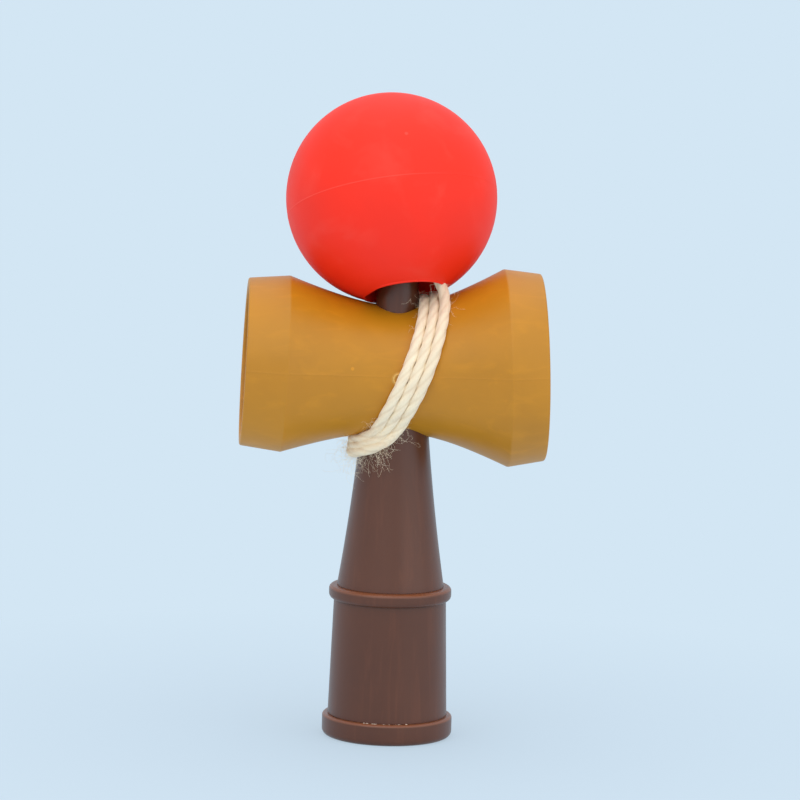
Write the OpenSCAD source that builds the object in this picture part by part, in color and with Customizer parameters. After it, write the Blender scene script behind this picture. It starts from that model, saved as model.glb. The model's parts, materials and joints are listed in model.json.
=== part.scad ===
// Cup and ball toy: a spiked handle, a double-cup crosspiece, a bored ball and a wound string.
// Millimetres, +Z up along the handle, +X along the crosspiece towards the big cup, front at -Y.
// The origin is the centre of the foot's underside.

/* [Handle] */
// Radius of the foot's flange
foot_r = 10.85; // [10.4:0.05:13]
// Height of the foot's flange
foot_h = 3.6; // [3.2:0.1:5]
// Rounding of the flange's lower edge
foot_round = 1; // [0.4:0.1:1.4]
// Rounding of the flange's upper edge
foot_edge = 0.5; // [0.2:0.1:0.9]
// Radius of the cup's mouth under the foot
foot_cup_r = 9; // [7:0.1:9.2]
// Depth of the cup under the foot
foot_cup_depth = 6; // [5:0.1:6.5]
// Length of the spigots that join the handle's pieces
spigot_h = 6.2; // [5:0.1:8]
// Outer radius of the barrel at the foot
barrel_r = 9.95; // [9.6:0.05:10.3]
// Outer radius of the barrel under the ring
barrel_top_r = 9.35; // [9.1:0.05:9.8]
// Height of the barrel with its ring
barrel_h = 21.7; // [18:0.1:30]
// Radius of the barrel's bore
barrel_bore_r = 7.6; // [7:0.05:8]
// Radius of the ring bead
ring_r = 10.2; // [9.9:0.05:11]
// Height of the ring bead
ring_h = 2.3; // [1.9:0.1:3]
// Height of the rounding under the ring bead
ring_under = 0.9; // [0.5:0.05:1]
// Rounding of the ring bead's upper edge
ring_edge = 0.7; // [0.3:0.05:0.8]
// Radius of the neck above the ring
neck_r = 8.9; // [8.3:0.05:9.2]
// Radius of the neck at its shoulder, inside the crosspiece
shoulder_r = 5.35; // [4.8:0.05:5.8]
// Height of the neck from the ring to its shoulder
neck_h = 29.7; // [24:0.1:36]
// How far the neck's outline bows inwards
neck_sag = 0.3; // [0.1:0.05:0.6]
// Wall round the hollow of the neck
neck_wall = 2.6; // [2:0.1:3.2]
// Radius of the shank that carries the crosspiece
shank_r = 3.7; // [3.3:0.05:4.1]
// Height of the spike above the crosspiece
spike_h = 15.2; // [12:0.1:18]
// Radius of the spike's rounded tip
spike_tip_r = 2; // [1.4:0.1:2.6]

/* [Crosspiece] */
// Length of the small cup's side, from the handle's axis to its rim
small_len = 25.25; // [22.5:0.05:28]
// Length of the big cup's side, from the handle's axis to its rim
big_len = 24.3; // [22:0.05:28]
// Height of the crosspiece's axis above the neck's shoulder
cross_rise = 6.35; // [6:0.05:8]
// Angle at which each side of the crosspiece slopes up from the waist
cross_bend = 2.2; // [0:0.1:3]
// Radius of the waist
waist_r = 10.5; // [10:0.1:11.5]
// Length over which the flanks bend out of the waist
waist_ease = 12; // [6:0.5:24]
// Radius of the small cup's rim
small_rim_r = 13.85; // [13:0.05:15]
// Radius of the small cup's corner, where its band ends
small_corner_r = 14.6; // [14:0.1:15.6]
// Length of the small cup's band
small_band = 6.85; // [4:0.05:8]
// Radius of the big cup's rim
big_rim_r = 15.5; // [14.5:0.1:16.5]
// Radius of the big cup's corner, where its band ends
big_corner_r = 16.4; // [15.6:0.1:17.4]
// Length of the big cup's band
big_band = 6.15; // [4:0.05:8]
// Wall at both rims
rim_wall = 1.3; // [1:0.1:2]
// Depth of both cups
cup_depth = 15.5; // [13:0.1:16]

/* [Ball] */
// Radius of the ball
ball_r = 17.5; // [16.5:0.1:18.5]
// Height of the seam between the ball's halves, from the ball's middle
seam_h = -1; // [-2:0.1:1]
// Wall of the ball's shell
ball_wall = 1.8; // [1.4:0.1:2.4]
// Play between the shank and the ball's hole
hole_play = 3.1; // [2.6:0.1:3.6]
// Width of the bevel round the hole
hole_bevel = 0.9; // [0.5:0.1:1.2]
// Depth of the hole
hole_depth = 20; // [18.5:0.1:21]
// How much the hole narrows, from its mouth to its end
hole_taper = 1.1; // [0.6:0.1:1.4]
// Wall round the hole
hole_wall = 1.6; // [1.2:0.1:2]
// Height above the saddle where the hole's axis crosses the spike
lean_h = 8.7; // [8:0.1:9.6]
// Direction of the ball's lean, from straight back towards the small cup
lean_turn = 21; // [14:1:30]

/* [String] */
// Thickness of the string
string_d = 1; // [0.9:0.05:1.25]
// Daylight between two turns
turn_gap = 0.7; // [0.6:0.05:0.75]
// How far a turn sweeps sideways from the top of the crosspiece to its underside
wind_sweep = 8.4; // [7.5:0.1:9.5]
// Radius of the knots
knot_r = 1.6; // [1.3:0.05:1.7]
// Radius of the string's holes
string_hole_r = 1; // [0.9:0.05:1.2]

/* [Clearances] */
// Gap of a glued spigot in its bore
glue_gap = 0.05; // [0.02:0.01:0.1]
// Gap between the crosspiece and the shank that it slides on
slide_gap = 0.05; // [0.03:0.01:0.1]
// Gap between the string and what it lies on
lay_gap = 0.2; // [0.2:0.05:0.35]
// Gap between the string and a piece that moves against it
pass_gap = 0.5; // [0.3:0.05:0.5]

/* [Hidden] */
$fn = 96;
arc_steps = 8;
long_arc_steps = 16;

BROWN = "#644b41";
OCHRE = "#c88f36";
RED = "#f03a2c";
CREAM = "#f3e4c8";

// Heights along the handle
ring_top_z = foot_h + barrel_h;
shoulder_z = ring_top_z + neck_h;
cross_z = shoulder_z + cross_rise;
saddle_z = cross_z + waist_r;
spike_top_z = saddle_z + spike_h;
shank_proud = 0.7;
shank_top_z = saddle_z + shank_proud;
spigot_r = barrel_bore_r - glue_gap;

// Places along the crosspiece, and the straight belt that joins its sides at the waist
belt_half = 3.8;
belt_step = 0.05;
small_corner_x = small_len - small_band;
big_corner_x = big_len - big_band;

// The ball's lean and place: its hole's rim rests on the saddle, its hole's wall near the shank
hole_r = shank_r + hole_play;
rim_lift = 2.1;
lean_gap = 0.5;
lean = atan((hole_play - lean_gap) / (lean_h - rim_lift));
ball_up = [-sin(lean_turn) * sin(lean), cos(lean_turn) * sin(lean), cos(lean)];
saddle_gap = 0.3;
ball_z = saddle_z + ball_r + saddle_gap;
ball_shift = (ball_z - saddle_z - lean_h) / ball_up.z;
ball_center = [0, 0, saddle_z + lean_h] + ball_shift * ball_up;
mouth_h = -sqrt(ball_r * ball_r - hole_r * hole_r);
roof_h = mouth_h + hole_depth;
roof_wall = 1.5;
knot_h = roof_h + roof_wall + pass_gap + knot_r;
lip_h = 1.2;
lip_wall = 0.9;

// The crosspiece's outer radius at a place along its axis: a hyperbola from the waist to each corner
function eased(x) = sqrt(x * x + waist_ease * waist_ease) - waist_ease;
function flank_r(x, corner_x, corner_r, start_r = waist_r) =
    start_r + (corner_r - start_r) * eased(x) / eased(corner_x);
function cross_r(x) = x < 0 ? flank_r(x, small_corner_x, small_corner_r)
                            : flank_r(x, big_corner_x, big_corner_r);
function cross_axis(x) = [x, 0, cross_z + tan(cross_bend) * abs(x)];

// The neck's radius at a height: a shallow arc bowed inwards
function neck_share(z) = min(1, max(0, (z - ring_top_z) / neck_h));
function neck_radius(z) =
    let (s = neck_share(z))
    neck_r + (shoulder_r - neck_r) * s - 4 * neck_sag * s * (1 - s);

function arc(center, r, a0, a1, steps = arc_steps) =
    [for (i = [0 : steps]) let (a = a0 + (a1 - a0) * i / steps) center + r * [cos(a), sin(a)]];
function unit(v) = v / norm(v);
function smooth(x) = let (s = min(1, max(0, x))) s * s * (3 - 2 * s);

// The string's route round the crosspiece and the neck.
// turn is an angle in degrees: 0 under the crosspiece, 90 in front, 180 on top, 270 behind.
string_r = string_d / 2;
turn_pitch = string_d + turn_gap;
wind_first = 90;
wind_start = -74;
wind_end = 877;
loop_rings = 24;
ring_step = 360 / loop_rings;
slow_under = 14;
lay_r = string_r + lay_gap;
wind_top_x = shank_r + pass_gap + string_r - turn_pitch * wind_first / 360;
sweep_power = 1.3;
stack_from = 0.62;
slant_step = 2;

function wind_turn(s) = s - slow_under * sin(s);
function wind_side(turn) = [0, -sin(turn), -cos(turn)];
function wind_base_x(turn) = wind_top_x - wind_sweep * pow((1 + cos(turn)) / 2, sweep_power);
function wind_reach(x) = cross_r(x + sign(x) * waist_r * tan(cross_bend)) + lay_r;
function wind_laid(x, turn) = cross_axis(x) + wind_reach(x) * wind_side(turn);
function wind_surface(turn) = wind_laid(wind_base_x(turn), turn);
function wind_slant(turn) = unit(wind_surface(turn + slant_step) - wind_surface(turn - slant_step));
function wind_across(turn) = unit(cross(wind_slant(turn), wind_side(turn)));
function wind_stack(turn) = 90 * smooth((cos(turn) - stack_from) / (1 - stack_from));
function clear_of_neck(p) =
    let (need = neck_radius(p.z) + pass_gap + lay_r, have = norm([p.x, p.y]))
    have < need && p.z < cross_z ? [p.x * need / have, p.y * need / have, p.z] : p;
function clear_of_crosspiece(p, more) =
    let (axis = cross_axis(p.x), need = wind_reach(p.x) + more, have = norm(p - axis))
    have < need ? axis + (p - axis) * need / have : p;
function wind_point(turn) =
    let (shift = turn_pitch * (turn - wind_first) / 360,
         stack = wind_stack(turn),
         moved = wind_surface(turn) + shift * cos(stack) * wind_across(turn),
         depth = (shift + turn_pitch / 4) * sin(stack),
         lowered = clear_of_crosspiece(moved, depth))
    clear_of_crosspiece(clear_of_neck(lowered), depth);
function wind_along(turn) = unit(wind_point(turn + 1) - wind_point(turn - 1));

// The string's first end: straight out of the crosspiece at the back, then bent on to the winding
hole_point = wind_point(wind_start);
hole_axis = cross_axis(hole_point.x);
hole_side = wind_side(wind_start);
hole_along = wind_along(wind_start);
bend_r = 1.6;
bend_steps = 5;
bend_room = 12;
knot_depth_r = 6;
knot_gap = 0.4;
pocket_r = knot_r + knot_gap;
pocket_end_r = knot_depth_r + pocket_r;
hole_path_r = norm(hole_point - hole_axis);
tail_start = hole_point - (hole_path_r - knot_depth_r - knot_r / 2) * hole_side;
tail_bend = [for (i = [0 : bend_steps])
    let (a = 90 * i / bend_steps)
    hole_point + bend_r * ((sin(a) - 1) * hole_side + (1 - cos(a)) * hole_along)];
first_s = -6 * ring_step;
wind_turns = [for (s = [first_s : ring_step : wind_end])
    let (turn = wind_turn(s))
    if (turn > wind_start + bend_room) turn];
wind_last = wind_point(wind_turn(wind_end));
wind_out = wind_along(wind_turn(wind_end));
wind_tip = wind_last + string_d * wind_out;
wind_path = concat([tail_start], tail_bend, [for (t = wind_turns) wind_point(t)], [wind_last, wind_tip]);

// The lead's points, chosen by hand, from the winding's end up past the spike into the ball
lead_points = [[7.3, -3.8, 75.2], [6.3, -3.4, 77.1], [5.2, -2.4, 79.4], [4.5, -1, 81.9],
               [3.9, 0.4, 84.5], [3.2, 1.6, 87.1], [2, 2.5, 89.4], [0.1, 3.2, 91.1]];
lead_path = concat([wind_tip, wind_tip + string_d * wind_out], lead_points,
                   [ball_center + (roof_h - string_d) * ball_up,
                    ball_center + (knot_h - knot_r / 2) * ball_up]);

// The least gap between two stretches of the winding, measured from its points to its segments
function segment_gap(p, a, b) =
    let (ab = b - a, t = min(1, max(0, ((p - a) * ab) / (ab * ab))))
    norm(p - a - t * ab);
apart = 10;
wind_gap = min([for (i = [0 : len(wind_path) - 1], j = [i + apart : 1 : len(wind_path) - 2])
    segment_gap(wind_path[i], wind_path[j], wind_path[j + 1])]) - string_d;
echo(winding_least_gap_to_itself_mm = wind_gap);

// A tube of triangles along a path, closed at both ends
function path_along(path, i) = unit(path[min(i + 1, len(path) - 1)] - path[max(i - 1, 0)]);
function path_ring(path, i, r, sides, guide) =
    let (along = path_along(path, i), u = unit(guide - (guide * along) * along), v = cross(along, u))
    [for (k = [0 : sides - 1]) path[i] + r * (cos(360 * k / sides) * u + sin(360 * k / sides) * v)];

module tube(path, d, sides, guides) {
    last = len(path) - 1;
    points = concat([for (i = [0 : last]) each path_ring(path, i, d / 2, sides, guides[i])],
                    [path[0], path[last]]);
    walls = [for (i = [0 : last - 1], k = [0 : sides - 1])
        let (a = i * sides + k, b = i * sides + (k + 1) % sides)
        each [[a, a + sides, b], [b, a + sides, b + sides]]];
    caps = [for (k = [0 : sides - 1])
        let (next = (k + 1) % sides)
        each [[len(points) - 2, k, next],
              [len(points) - 1, last * sides + next, last * sides + k]]];
    polyhedron(points, concat(walls, caps), convexity = 10);
}

module foot_cup() {
    bowl_r = (pow(foot_cup_r, 2) + pow(foot_cup_depth, 2)) / (2 * foot_cup_depth);
    color(BROWN)
    difference() {
        rotate_extrude()
            polygon(concat(
                [[0, 0]],
                arc([foot_r - foot_round, foot_round], foot_round, -90, 0),
                arc([foot_r - foot_edge, foot_h - foot_edge], foot_edge, 0, 90),
                [[spigot_r, foot_h], [spigot_r, foot_h + spigot_h], [0, foot_h + spigot_h]]));
        translate([0, 0, foot_cup_depth - bowl_r])
            sphere(bowl_r);
    }
}

module barrel() {
    ring_z = ring_top_z - ring_h;
    color(BROWN)
    rotate_extrude()
        polygon(concat(
            [[barrel_bore_r, foot_h], [barrel_r, foot_h]],
            [for (i = [0 : arc_steps])
                let (a = 90 * i / arc_steps)
                [barrel_top_r + (ring_r - barrel_top_r) * sin(a), ring_z + ring_under * (1 - cos(a))]],
            arc([ring_r - ring_edge, ring_top_z - ring_edge], ring_edge, 0, 90),
            [[barrel_bore_r, ring_top_z]]));
}

// Outline of the neck from the ring up to its shoulder, moved outwards by a gap
function neck_outline(z0, z1, gap) =
    [for (i = [0 : long_arc_steps])
        let (z = z0 + (z1 - z0) * i / long_arc_steps)
        [neck_radius(z) + gap, z]];

module neck_and_spike() {
    hollow_top_z = shoulder_z - neck_wall * 2;
    spigot_z = ring_top_z - spigot_h;
    color(BROWN)
    rotate_extrude()
        polygon(concat(
            [[spigot_r - neck_wall, spigot_z], [spigot_r, spigot_z], [spigot_r, ring_top_z]],
            neck_outline(ring_top_z, shoulder_z, 0),
            [[shank_r, shoulder_z], [shank_r, shank_top_z]],
            arc([0, spike_top_z - spike_tip_r], spike_tip_r, 10, 90),
            [[0, hollow_top_z], [shoulder_r - neck_wall, hollow_top_z]]));
}

// The hollow of a cup: a quarter ellipse turned about its side's axis, opening towards +X
module cup_hollow(mouth_r, rim_x) {
    rotate([0, 90 - cross_bend, 0])
        rotate_extrude()
            polygon(concat(
                [for (i = [0 : long_arc_steps])
                    let (a = 90 * i / long_arc_steps)
                    [mouth_r * sin(a), rim_x - cup_depth * cos(a)]],
                [[mouth_r, rim_x + 1], [0, rim_x + 1]]));
}

// One side of the crosspiece, pointing to +X and sloping up, from inside the waist's belt
module crosspiece_side(corner_x, corner_r, side_len, rim_r) {
    rotate([0, 90 - cross_bend, 0])
        rotate_extrude()
            polygon(concat(
                [[0, 0]],
                [for (i = [0 : long_arc_steps])
                    let (x = corner_x * i / long_arc_steps)
                    [flank_r(x, corner_x, corner_r, waist_r - belt_step), x]],
                [[rim_r, side_len], [0, side_len]]));
}

// The seat for the neck's cone and the bore for the shank
module crosspiece_bore() {
    cone_z = cross_z - waist_r - 1;
    rotate_extrude()
        polygon(concat(
            [[0, cone_z]],
            neck_outline(cone_z, shoulder_z, slide_gap),
            [[shank_r + slide_gap, shoulder_z], [shank_r + slide_gap, saddle_z + 1],
             [0, saddle_z + 1]]));
}

// The string's hole at the back, flared outside, with a pocket for the knot beside the bore
module crosspiece_string_hole() {
    flare_r = string_hole_r + bend_r;
    out_r = hole_path_r + bend_r;
    translate(hole_axis)
        rotate([180 - wind_start, 0, 0]) {
            translate([0, 0, shank_r])
                cylinder(h = pocket_end_r - shank_r, r = pocket_r);
            cylinder(h = out_r, r = string_hole_r);
            translate([0, 0, hole_path_r - lay_r - bend_r])
                cylinder(h = out_r - hole_path_r + lay_r + bend_r, r1 = string_hole_r,
                         r2 = flare_r + bend_r);
        }
}

module crosspiece() {
    color(OCHRE)
    difference() {
        translate([0, 0, cross_z]) {
            rotate([0, 90, 0])
                cylinder(h = 2 * belt_half, r = waist_r, center = true);
            crosspiece_side(big_corner_x, big_corner_r, big_len, big_rim_r);
            mirror([1, 0, 0])
                crosspiece_side(small_corner_x, small_corner_r, small_len, small_rim_r);
        }
        translate([0, 0, cross_z])
            cup_hollow(big_rim_r - rim_wall, big_len);
        translate([0, 0, cross_z])
            mirror([1, 0, 0])
                cup_hollow(small_rim_r - rim_wall, small_len);
        crosspiece_bore();
        crosspiece_string_hole();
    }
}

// Places a piece of the ball: its own +Z is the axis of the ball's hole, pointing up
module in_ball() {
    translate(ball_center)
        rotate([-lean, 0, lean_turn])
            children();
}

module ball_lower_half() {
    end_r = hole_r - hole_taper;
    bevel_h = mouth_h + hole_bevel * 1.5;
    reach = 3;
    color(RED)
    in_ball()
    difference() {
        union() {
            difference() {
                sphere(ball_r);
                sphere(ball_r - ball_wall);
                translate([0, 0, seam_h])
                    cylinder(h = ball_r - seam_h, r = ball_r + 1);
            }
            intersection() {
                translate([0, 0, mouth_h - reach])
                    cylinder(h = roof_h + roof_wall - mouth_h + reach, r1 = hole_r + hole_wall,
                             r2 = end_r + hole_wall);
                sphere(ball_r);
            }
            difference() {
                translate([0, 0, seam_h - lip_h])
                    cylinder(h = 2 * lip_h, r = ball_r - ball_wall + lip_wall - glue_gap);
                translate([0, 0, seam_h - 2 * lip_h])
                    cylinder(h = 4 * lip_h, r = ball_r - ball_wall - lip_wall);
            }
        }
        translate([0, 0, mouth_h])
            cylinder(h = hole_depth, r1 = hole_r, r2 = end_r);
        translate([0, 0, mouth_h - reach])
            cylinder(h = reach + 1, r = hole_r);
        translate([0, 0, bevel_h - reach])
            cylinder(h = reach, r1 = hole_r + reach, r2 = hole_r);
        cylinder(h = ball_r, r = string_hole_r);
    }
}

module ball_upper_half() {
    color(RED)
    in_ball()
    difference() {
        sphere(ball_r);
        sphere(ball_r - ball_wall);
        translate([0, 0, -ball_r])
            cylinder(h = ball_r + seam_h, r = ball_r + 1);
        translate([0, 0, seam_h - lip_h])
            cylinder(h = 2 * lip_h + glue_gap, r = ball_r - ball_wall + lip_wall);
    }
}

module string_winding() {
    guides = concat([for (i = [0 : len(tail_bend)]) hole_side - hole_along],
                    [for (t = wind_turns) wind_side(t)],
                    [for (i = [0, 1]) wind_side(wind_turn(wind_end))]);
    color(CREAM)
    tube(wind_path, string_d, 6, guides);
}

module string_lead() {
    color(CREAM)
    tube(lead_path, string_d, 8, [for (p = lead_path) [1, 0, 0]]);
}

module crosspiece_knot() {
    color(CREAM)
    translate(hole_axis + knot_depth_r * hole_side)
        sphere(knot_r);
}

module ball_knot() {
    color(CREAM)
    translate(ball_center + knot_h * ball_up)
        sphere(knot_r);
}

foot_cup();
barrel();
neck_and_spike();
crosspiece();
ball_lower_half();
ball_upper_half();
string_winding();
string_lead();
crosspiece_knot();
ball_knot();
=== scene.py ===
"""Dresses the packed cup and ball toy: turned plastic pieces, a wound cotton string and a plain stage.

Metres, +Z up along the handle, +X along the crosspiece towards the big cup, front at -Y.
"""
import json
import math

import bmesh
import bpy
import numpy as np
from mathutils import Color, Matrix, Vector


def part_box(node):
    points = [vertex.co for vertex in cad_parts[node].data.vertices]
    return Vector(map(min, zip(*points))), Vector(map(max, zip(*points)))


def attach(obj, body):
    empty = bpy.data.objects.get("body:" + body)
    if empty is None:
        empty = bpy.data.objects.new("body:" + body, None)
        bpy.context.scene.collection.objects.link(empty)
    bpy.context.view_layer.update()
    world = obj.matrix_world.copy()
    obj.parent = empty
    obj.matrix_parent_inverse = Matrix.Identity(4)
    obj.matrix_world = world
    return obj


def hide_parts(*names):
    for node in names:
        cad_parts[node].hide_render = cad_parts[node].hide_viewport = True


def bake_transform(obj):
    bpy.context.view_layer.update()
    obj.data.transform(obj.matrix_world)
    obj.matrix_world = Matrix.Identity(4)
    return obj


bl_info = {
    "name": "Cup and Ball Toy",
    "version": (1, 0, 0),
    "blender": (4, 5, 0),
    "location": "3D View > Sidebar > Cup and Ball",
    "description": "Turned pieces, a wound cotton string and a plain stage for a cup and ball toy",
    "category": "Object",
}

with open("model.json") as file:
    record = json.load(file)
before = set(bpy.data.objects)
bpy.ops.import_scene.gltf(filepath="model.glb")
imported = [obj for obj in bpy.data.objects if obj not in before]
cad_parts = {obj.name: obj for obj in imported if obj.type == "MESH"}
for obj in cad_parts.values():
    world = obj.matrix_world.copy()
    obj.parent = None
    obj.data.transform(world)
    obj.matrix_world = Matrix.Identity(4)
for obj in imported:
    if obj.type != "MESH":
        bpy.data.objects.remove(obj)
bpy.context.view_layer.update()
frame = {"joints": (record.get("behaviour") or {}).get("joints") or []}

MM = 0.001
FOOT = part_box("foot_cup")
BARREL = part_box("barrel")
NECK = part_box("neck_and_spike")
BALL_TOP_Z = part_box("ball_upper_half")[1].z
SPIN = next(joint for joint in frame["joints"] if joint["name"] == "ball_spin")

# Segments of a turned piece, and the angle in degrees up to which a round piece's edges stay smooth.
FINE_TURN = 224
ROUND_SHARP = 80


# Properties


def size(name, description, default):
    """A length that a user may change, in metres."""
    return bpy.props.FloatProperty(name=name, description=description, default=default, precision=5,
                                   unit="LENGTH", subtype="DISTANCE")


def angle(name, description, degrees):
    """An angle that a user may change."""
    return bpy.props.FloatProperty(name=name, description=description, default=math.radians(degrees),
                                   unit="ROTATION", subtype="ANGLE")


def colour(name, description, red, green, blue):
    """A colour that a user may change, given in 8-bit sRGB steps."""
    written = Color((red / 255, green / 255, blue / 255)).from_srgb_to_scene_linear()
    return bpy.props.FloatVectorProperty(name=name, description=description, default=tuple(written),
                                         min=0, max=1, subtype="COLOR")


class HandleSizes(bpy.types.PropertyGroup):
    """Sizes of the handle's three pieces."""

    foot_r: size("Foot radius", "Radius of the foot's flange", FOOT[1].x)
    foot_h: size("Foot height", "Height of the foot's flange", BARREL[0].z)
    foot_round: size("Foot rounding", "Rounding of the flange's lower edge", 1 * MM)
    foot_edge: size("Foot edge", "Rounding of the flange's upper edge", 0.5 * MM)
    foot_cup_r: size("Foot cup radius", "Radius of the cup's mouth under the foot", 9 * MM)
    foot_cup_depth: size("Foot cup depth", "Depth of the cup under the foot", 6 * MM)
    spigot_h: size("Spigot length", "Length of the spigots inside the barrel", 6.2 * MM)
    spigot_r: size("Spigot radius", "Radius of the spigots inside the barrel", 7.55 * MM)
    barrel_r: size("Barrel radius", "Outer radius of the barrel at the foot", 9.95 * MM)
    barrel_top_r: size("Barrel top radius", "Outer radius of the barrel under the ring", 9.35 * MM)
    barrel_bore_r: size("Bore radius", "Radius of the barrel's bore", 7.6 * MM)
    ring_r: size("Ring radius", "Radius of the ring bead", BARREL[1].x)
    ring_h: size("Ring height", "Height of the ring bead", 2.3 * MM)
    ring_under: size("Ring underside", "Height of the rounding under the ring bead", 0.9 * MM)
    ring_edge: size("Ring edge", "Rounding of the ring bead's upper edge", 0.7 * MM)
    ring_top_z: size("Ring top", "Height of the ring's upper edge", BARREL[1].z)
    neck_r: size("Neck radius", "Radius of the neck above the ring", 8.9 * MM)
    shoulder_r: size("Shoulder radius", "Radius of the neck inside the crosspiece", 5.35 * MM)
    shoulder_z: size("Shoulder height", "Height of the neck's shoulder", 55 * MM)
    neck_sag: size("Neck sag", "How far the neck's outline bows inwards", 0.3 * MM)
    neck_wall: size("Neck wall", "Wall round the hollow of the neck", 2.6 * MM)
    shank_r: size("Shank radius", "Radius of the shank under the spike", 3.7 * MM)
    shank_top_z: size("Shank top", "Height where the shank turns into the spike", 72.45 * MM)
    spike_top_z: size("Spike top", "Height of the spike's tip", NECK[1].z)
    spike_tip_r: size("Tip radius", "Radius of the spike's rounded tip", 2 * MM)
    edge: size("Edge", "Rounding of the edges where two pieces meet", 0.05 * MM)


class CrosspieceSizes(bpy.types.PropertyGroup):
    """Sizes of the double cup."""

    axis_z: size("Axis height", "Height of the crosspiece's axis at the waist", 61.45 * MM)
    bend: angle("Bend", "Angle at which each side slopes up from the waist", 2.2)
    bend_ease: size("Bend ease", "Half length of the waist over which the slope sets in", 1.5 * MM)
    small_len: size("Small side", "Length from the handle's axis to the small rim", 25.25 * MM)
    big_len: size("Big side", "Length from the handle's axis to the big rim", 24.3 * MM)
    waist_r: size("Waist radius", "Radius of the waist", 10.5 * MM)
    waist_ease: size("Waist ease", "Length over which the flanks bend out of the waist", 12 * MM)
    small_rim_r: size("Small rim radius", "Radius of the small cup's rim", 13.85 * MM)
    small_corner_r: size("Small corner radius", "Radius where the small cup's band ends", 14.6 * MM)
    small_band: size("Small band", "Length of the small cup's band", 6.85 * MM)
    big_rim_r: size("Big rim radius", "Radius of the big cup's rim", 15.5 * MM)
    big_corner_r: size("Big corner radius", "Radius where the big cup's band ends", 16.4 * MM)
    big_band: size("Big band", "Length of the big cup's band", 6.15 * MM)
    rim_wall: size("Rim wall", "Wall at both rims", 1.3 * MM)
    cup_depth: size("Cup depth", "Depth of both cups", 15.5 * MM)
    slide_gap: size("Slide gap", "Gap round the shank that it slides on", 0.05 * MM)
    rim_round: size("Rim rounding", "Rounding of both rims' edges", 0.35 * MM)
    corner_round: size("Corner rounding", "Rounding of the edge between band and flank", 0.7 * MM)
    seam_ridge: size("Parting ridge", "Height of the ridge where the mould parted", 0.035 * MM)
    seam_width: size("Parting width", "Half width of that ridge", 0.12 * MM)
    gate_r: size("Gate radius", "Radius of the mark that the mould's gate left in front", 0.85 * MM)
    gate_x: size("Gate place", "Place of that mark along the crosspiece", -0.1 * MM)
    gate_drop: size("Gate drop", "How far that mark lies below the axis", 0.3 * MM)


class BallSizes(bpy.types.PropertyGroup):
    """Sizes and place of the bored ball."""

    center: bpy.props.FloatVectorProperty(name="Centre", description="Middle of the ball",
                                          default=SPIN["pos_m"], unit="LENGTH", subtype="TRANSLATION")
    up: bpy.props.FloatVectorProperty(name="Hole axis", description="Direction up the ball's hole",
                                      default=SPIN["axis"], subtype="DIRECTION")
    radius: size("Radius", "Radius of the ball", BALL_TOP_Z - SPIN["pos_m"][2])
    seam_h: size("Seam height", "Height of the halves' seam from the ball's middle", -1 * MM)
    wall: size("Wall", "Wall of the shell", 1.8 * MM)
    hole_r: size("Hole radius", "Radius of the hole's mouth", 6.8 * MM)
    hole_rim: size("Hole rim", "Width of the raised rim round the hole", 0.45 * MM)
    hole_flash: size("Hole flash", "How far that rim stands proud", 0.18 * MM)
    rim_reach: size("Rim reach", "How far that rim reaches into the hole", 0.2 * MM)
    burr: size("Burr", "How much further it reaches at the burr", 0.6 * MM)
    burr_turn: angle("Burr place", "Turn of the burr about the hole's axis", 2)
    hole_depth: size("Hole depth", "Depth of the hole", 20 * MM)
    hole_taper: size("Hole taper", "How much the hole narrows to its end", 1.1 * MM)
    hole_wall: size("Hole wall", "Wall round the hole", 1.6 * MM)
    roof_wall: size("Roof", "Wall over the hole's end", 1.5 * MM)
    lip_h: size("Lip height", "Height of the lip that locates the halves", 1.2 * MM)
    lip_wall: size("Lip wall", "Half thickness of that lip", 0.9 * MM)
    glue_gap: size("Glue gap", "Gap of the lip in its rebate", 0.05 * MM)
    seam_flash: size("Seam flash", "How far the lower half's edge stands proud", 0.02 * MM)
    seam_step: size("Seam step", "How far the halves are out of line", 0.02 * MM)


class StringSizes(bpy.types.PropertyGroup):
    """Sizes of the cotton string and of its turns."""

    strand_d: size("Thickness", "Thickness of the string as it lies", 1.86 * MM)
    core_d: size("Core", "Thickness that the turns are laid out for", 1 * MM)
    turn_gap: size("Turn gap", "Daylight between two cores", 0.7 * MM)
    sweep: size("Sweep", "How far a turn sweeps sideways from top to underside", 8.05 * MM)
    press: size("Press", "How far the cotton presses against the shank", 0.35 * MM)
    lay: size("Lay", "Length in which the three plies twist once round", 10 * MM)
    hole_r: size("String hole radius", "Radius of the string's holes", 1 * MM)
    knot_r: size("Knot radius", "Radius of the knots", 1.6 * MM)
    lay_gap: size("Lay gap", "Gap between a core and what it lies on", 0.2 * MM)
    pass_gap: size("Pass gap", "Gap to a piece that moves against the string", 0.5 * MM)
    fibre_len: size("Fibre length", "Length of the longest loose fibres", 4.4 * MM)
    fibre_r: size("Fibre radius", "Radius of a loose fibre", 0.01 * MM)


class ToyColours(bpy.types.PropertyGroup):
    """Colours of the finishes and of the stage."""

    brown: colour("Brown plastic", "Handle", 89, 48, 29)
    ochre: colour("Ochre plastic", "Crosspiece", 191, 128, 14)
    red: colour("Red plastic", "Ball", 255, 36, 4)
    cotton: colour("Cotton", "String", 254, 236, 208)
    glue: colour("Glue", "Specks of glue", 226, 206, 190)
    floor: colour("Floor", "Floor and backdrop", 211, 230, 244)


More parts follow.
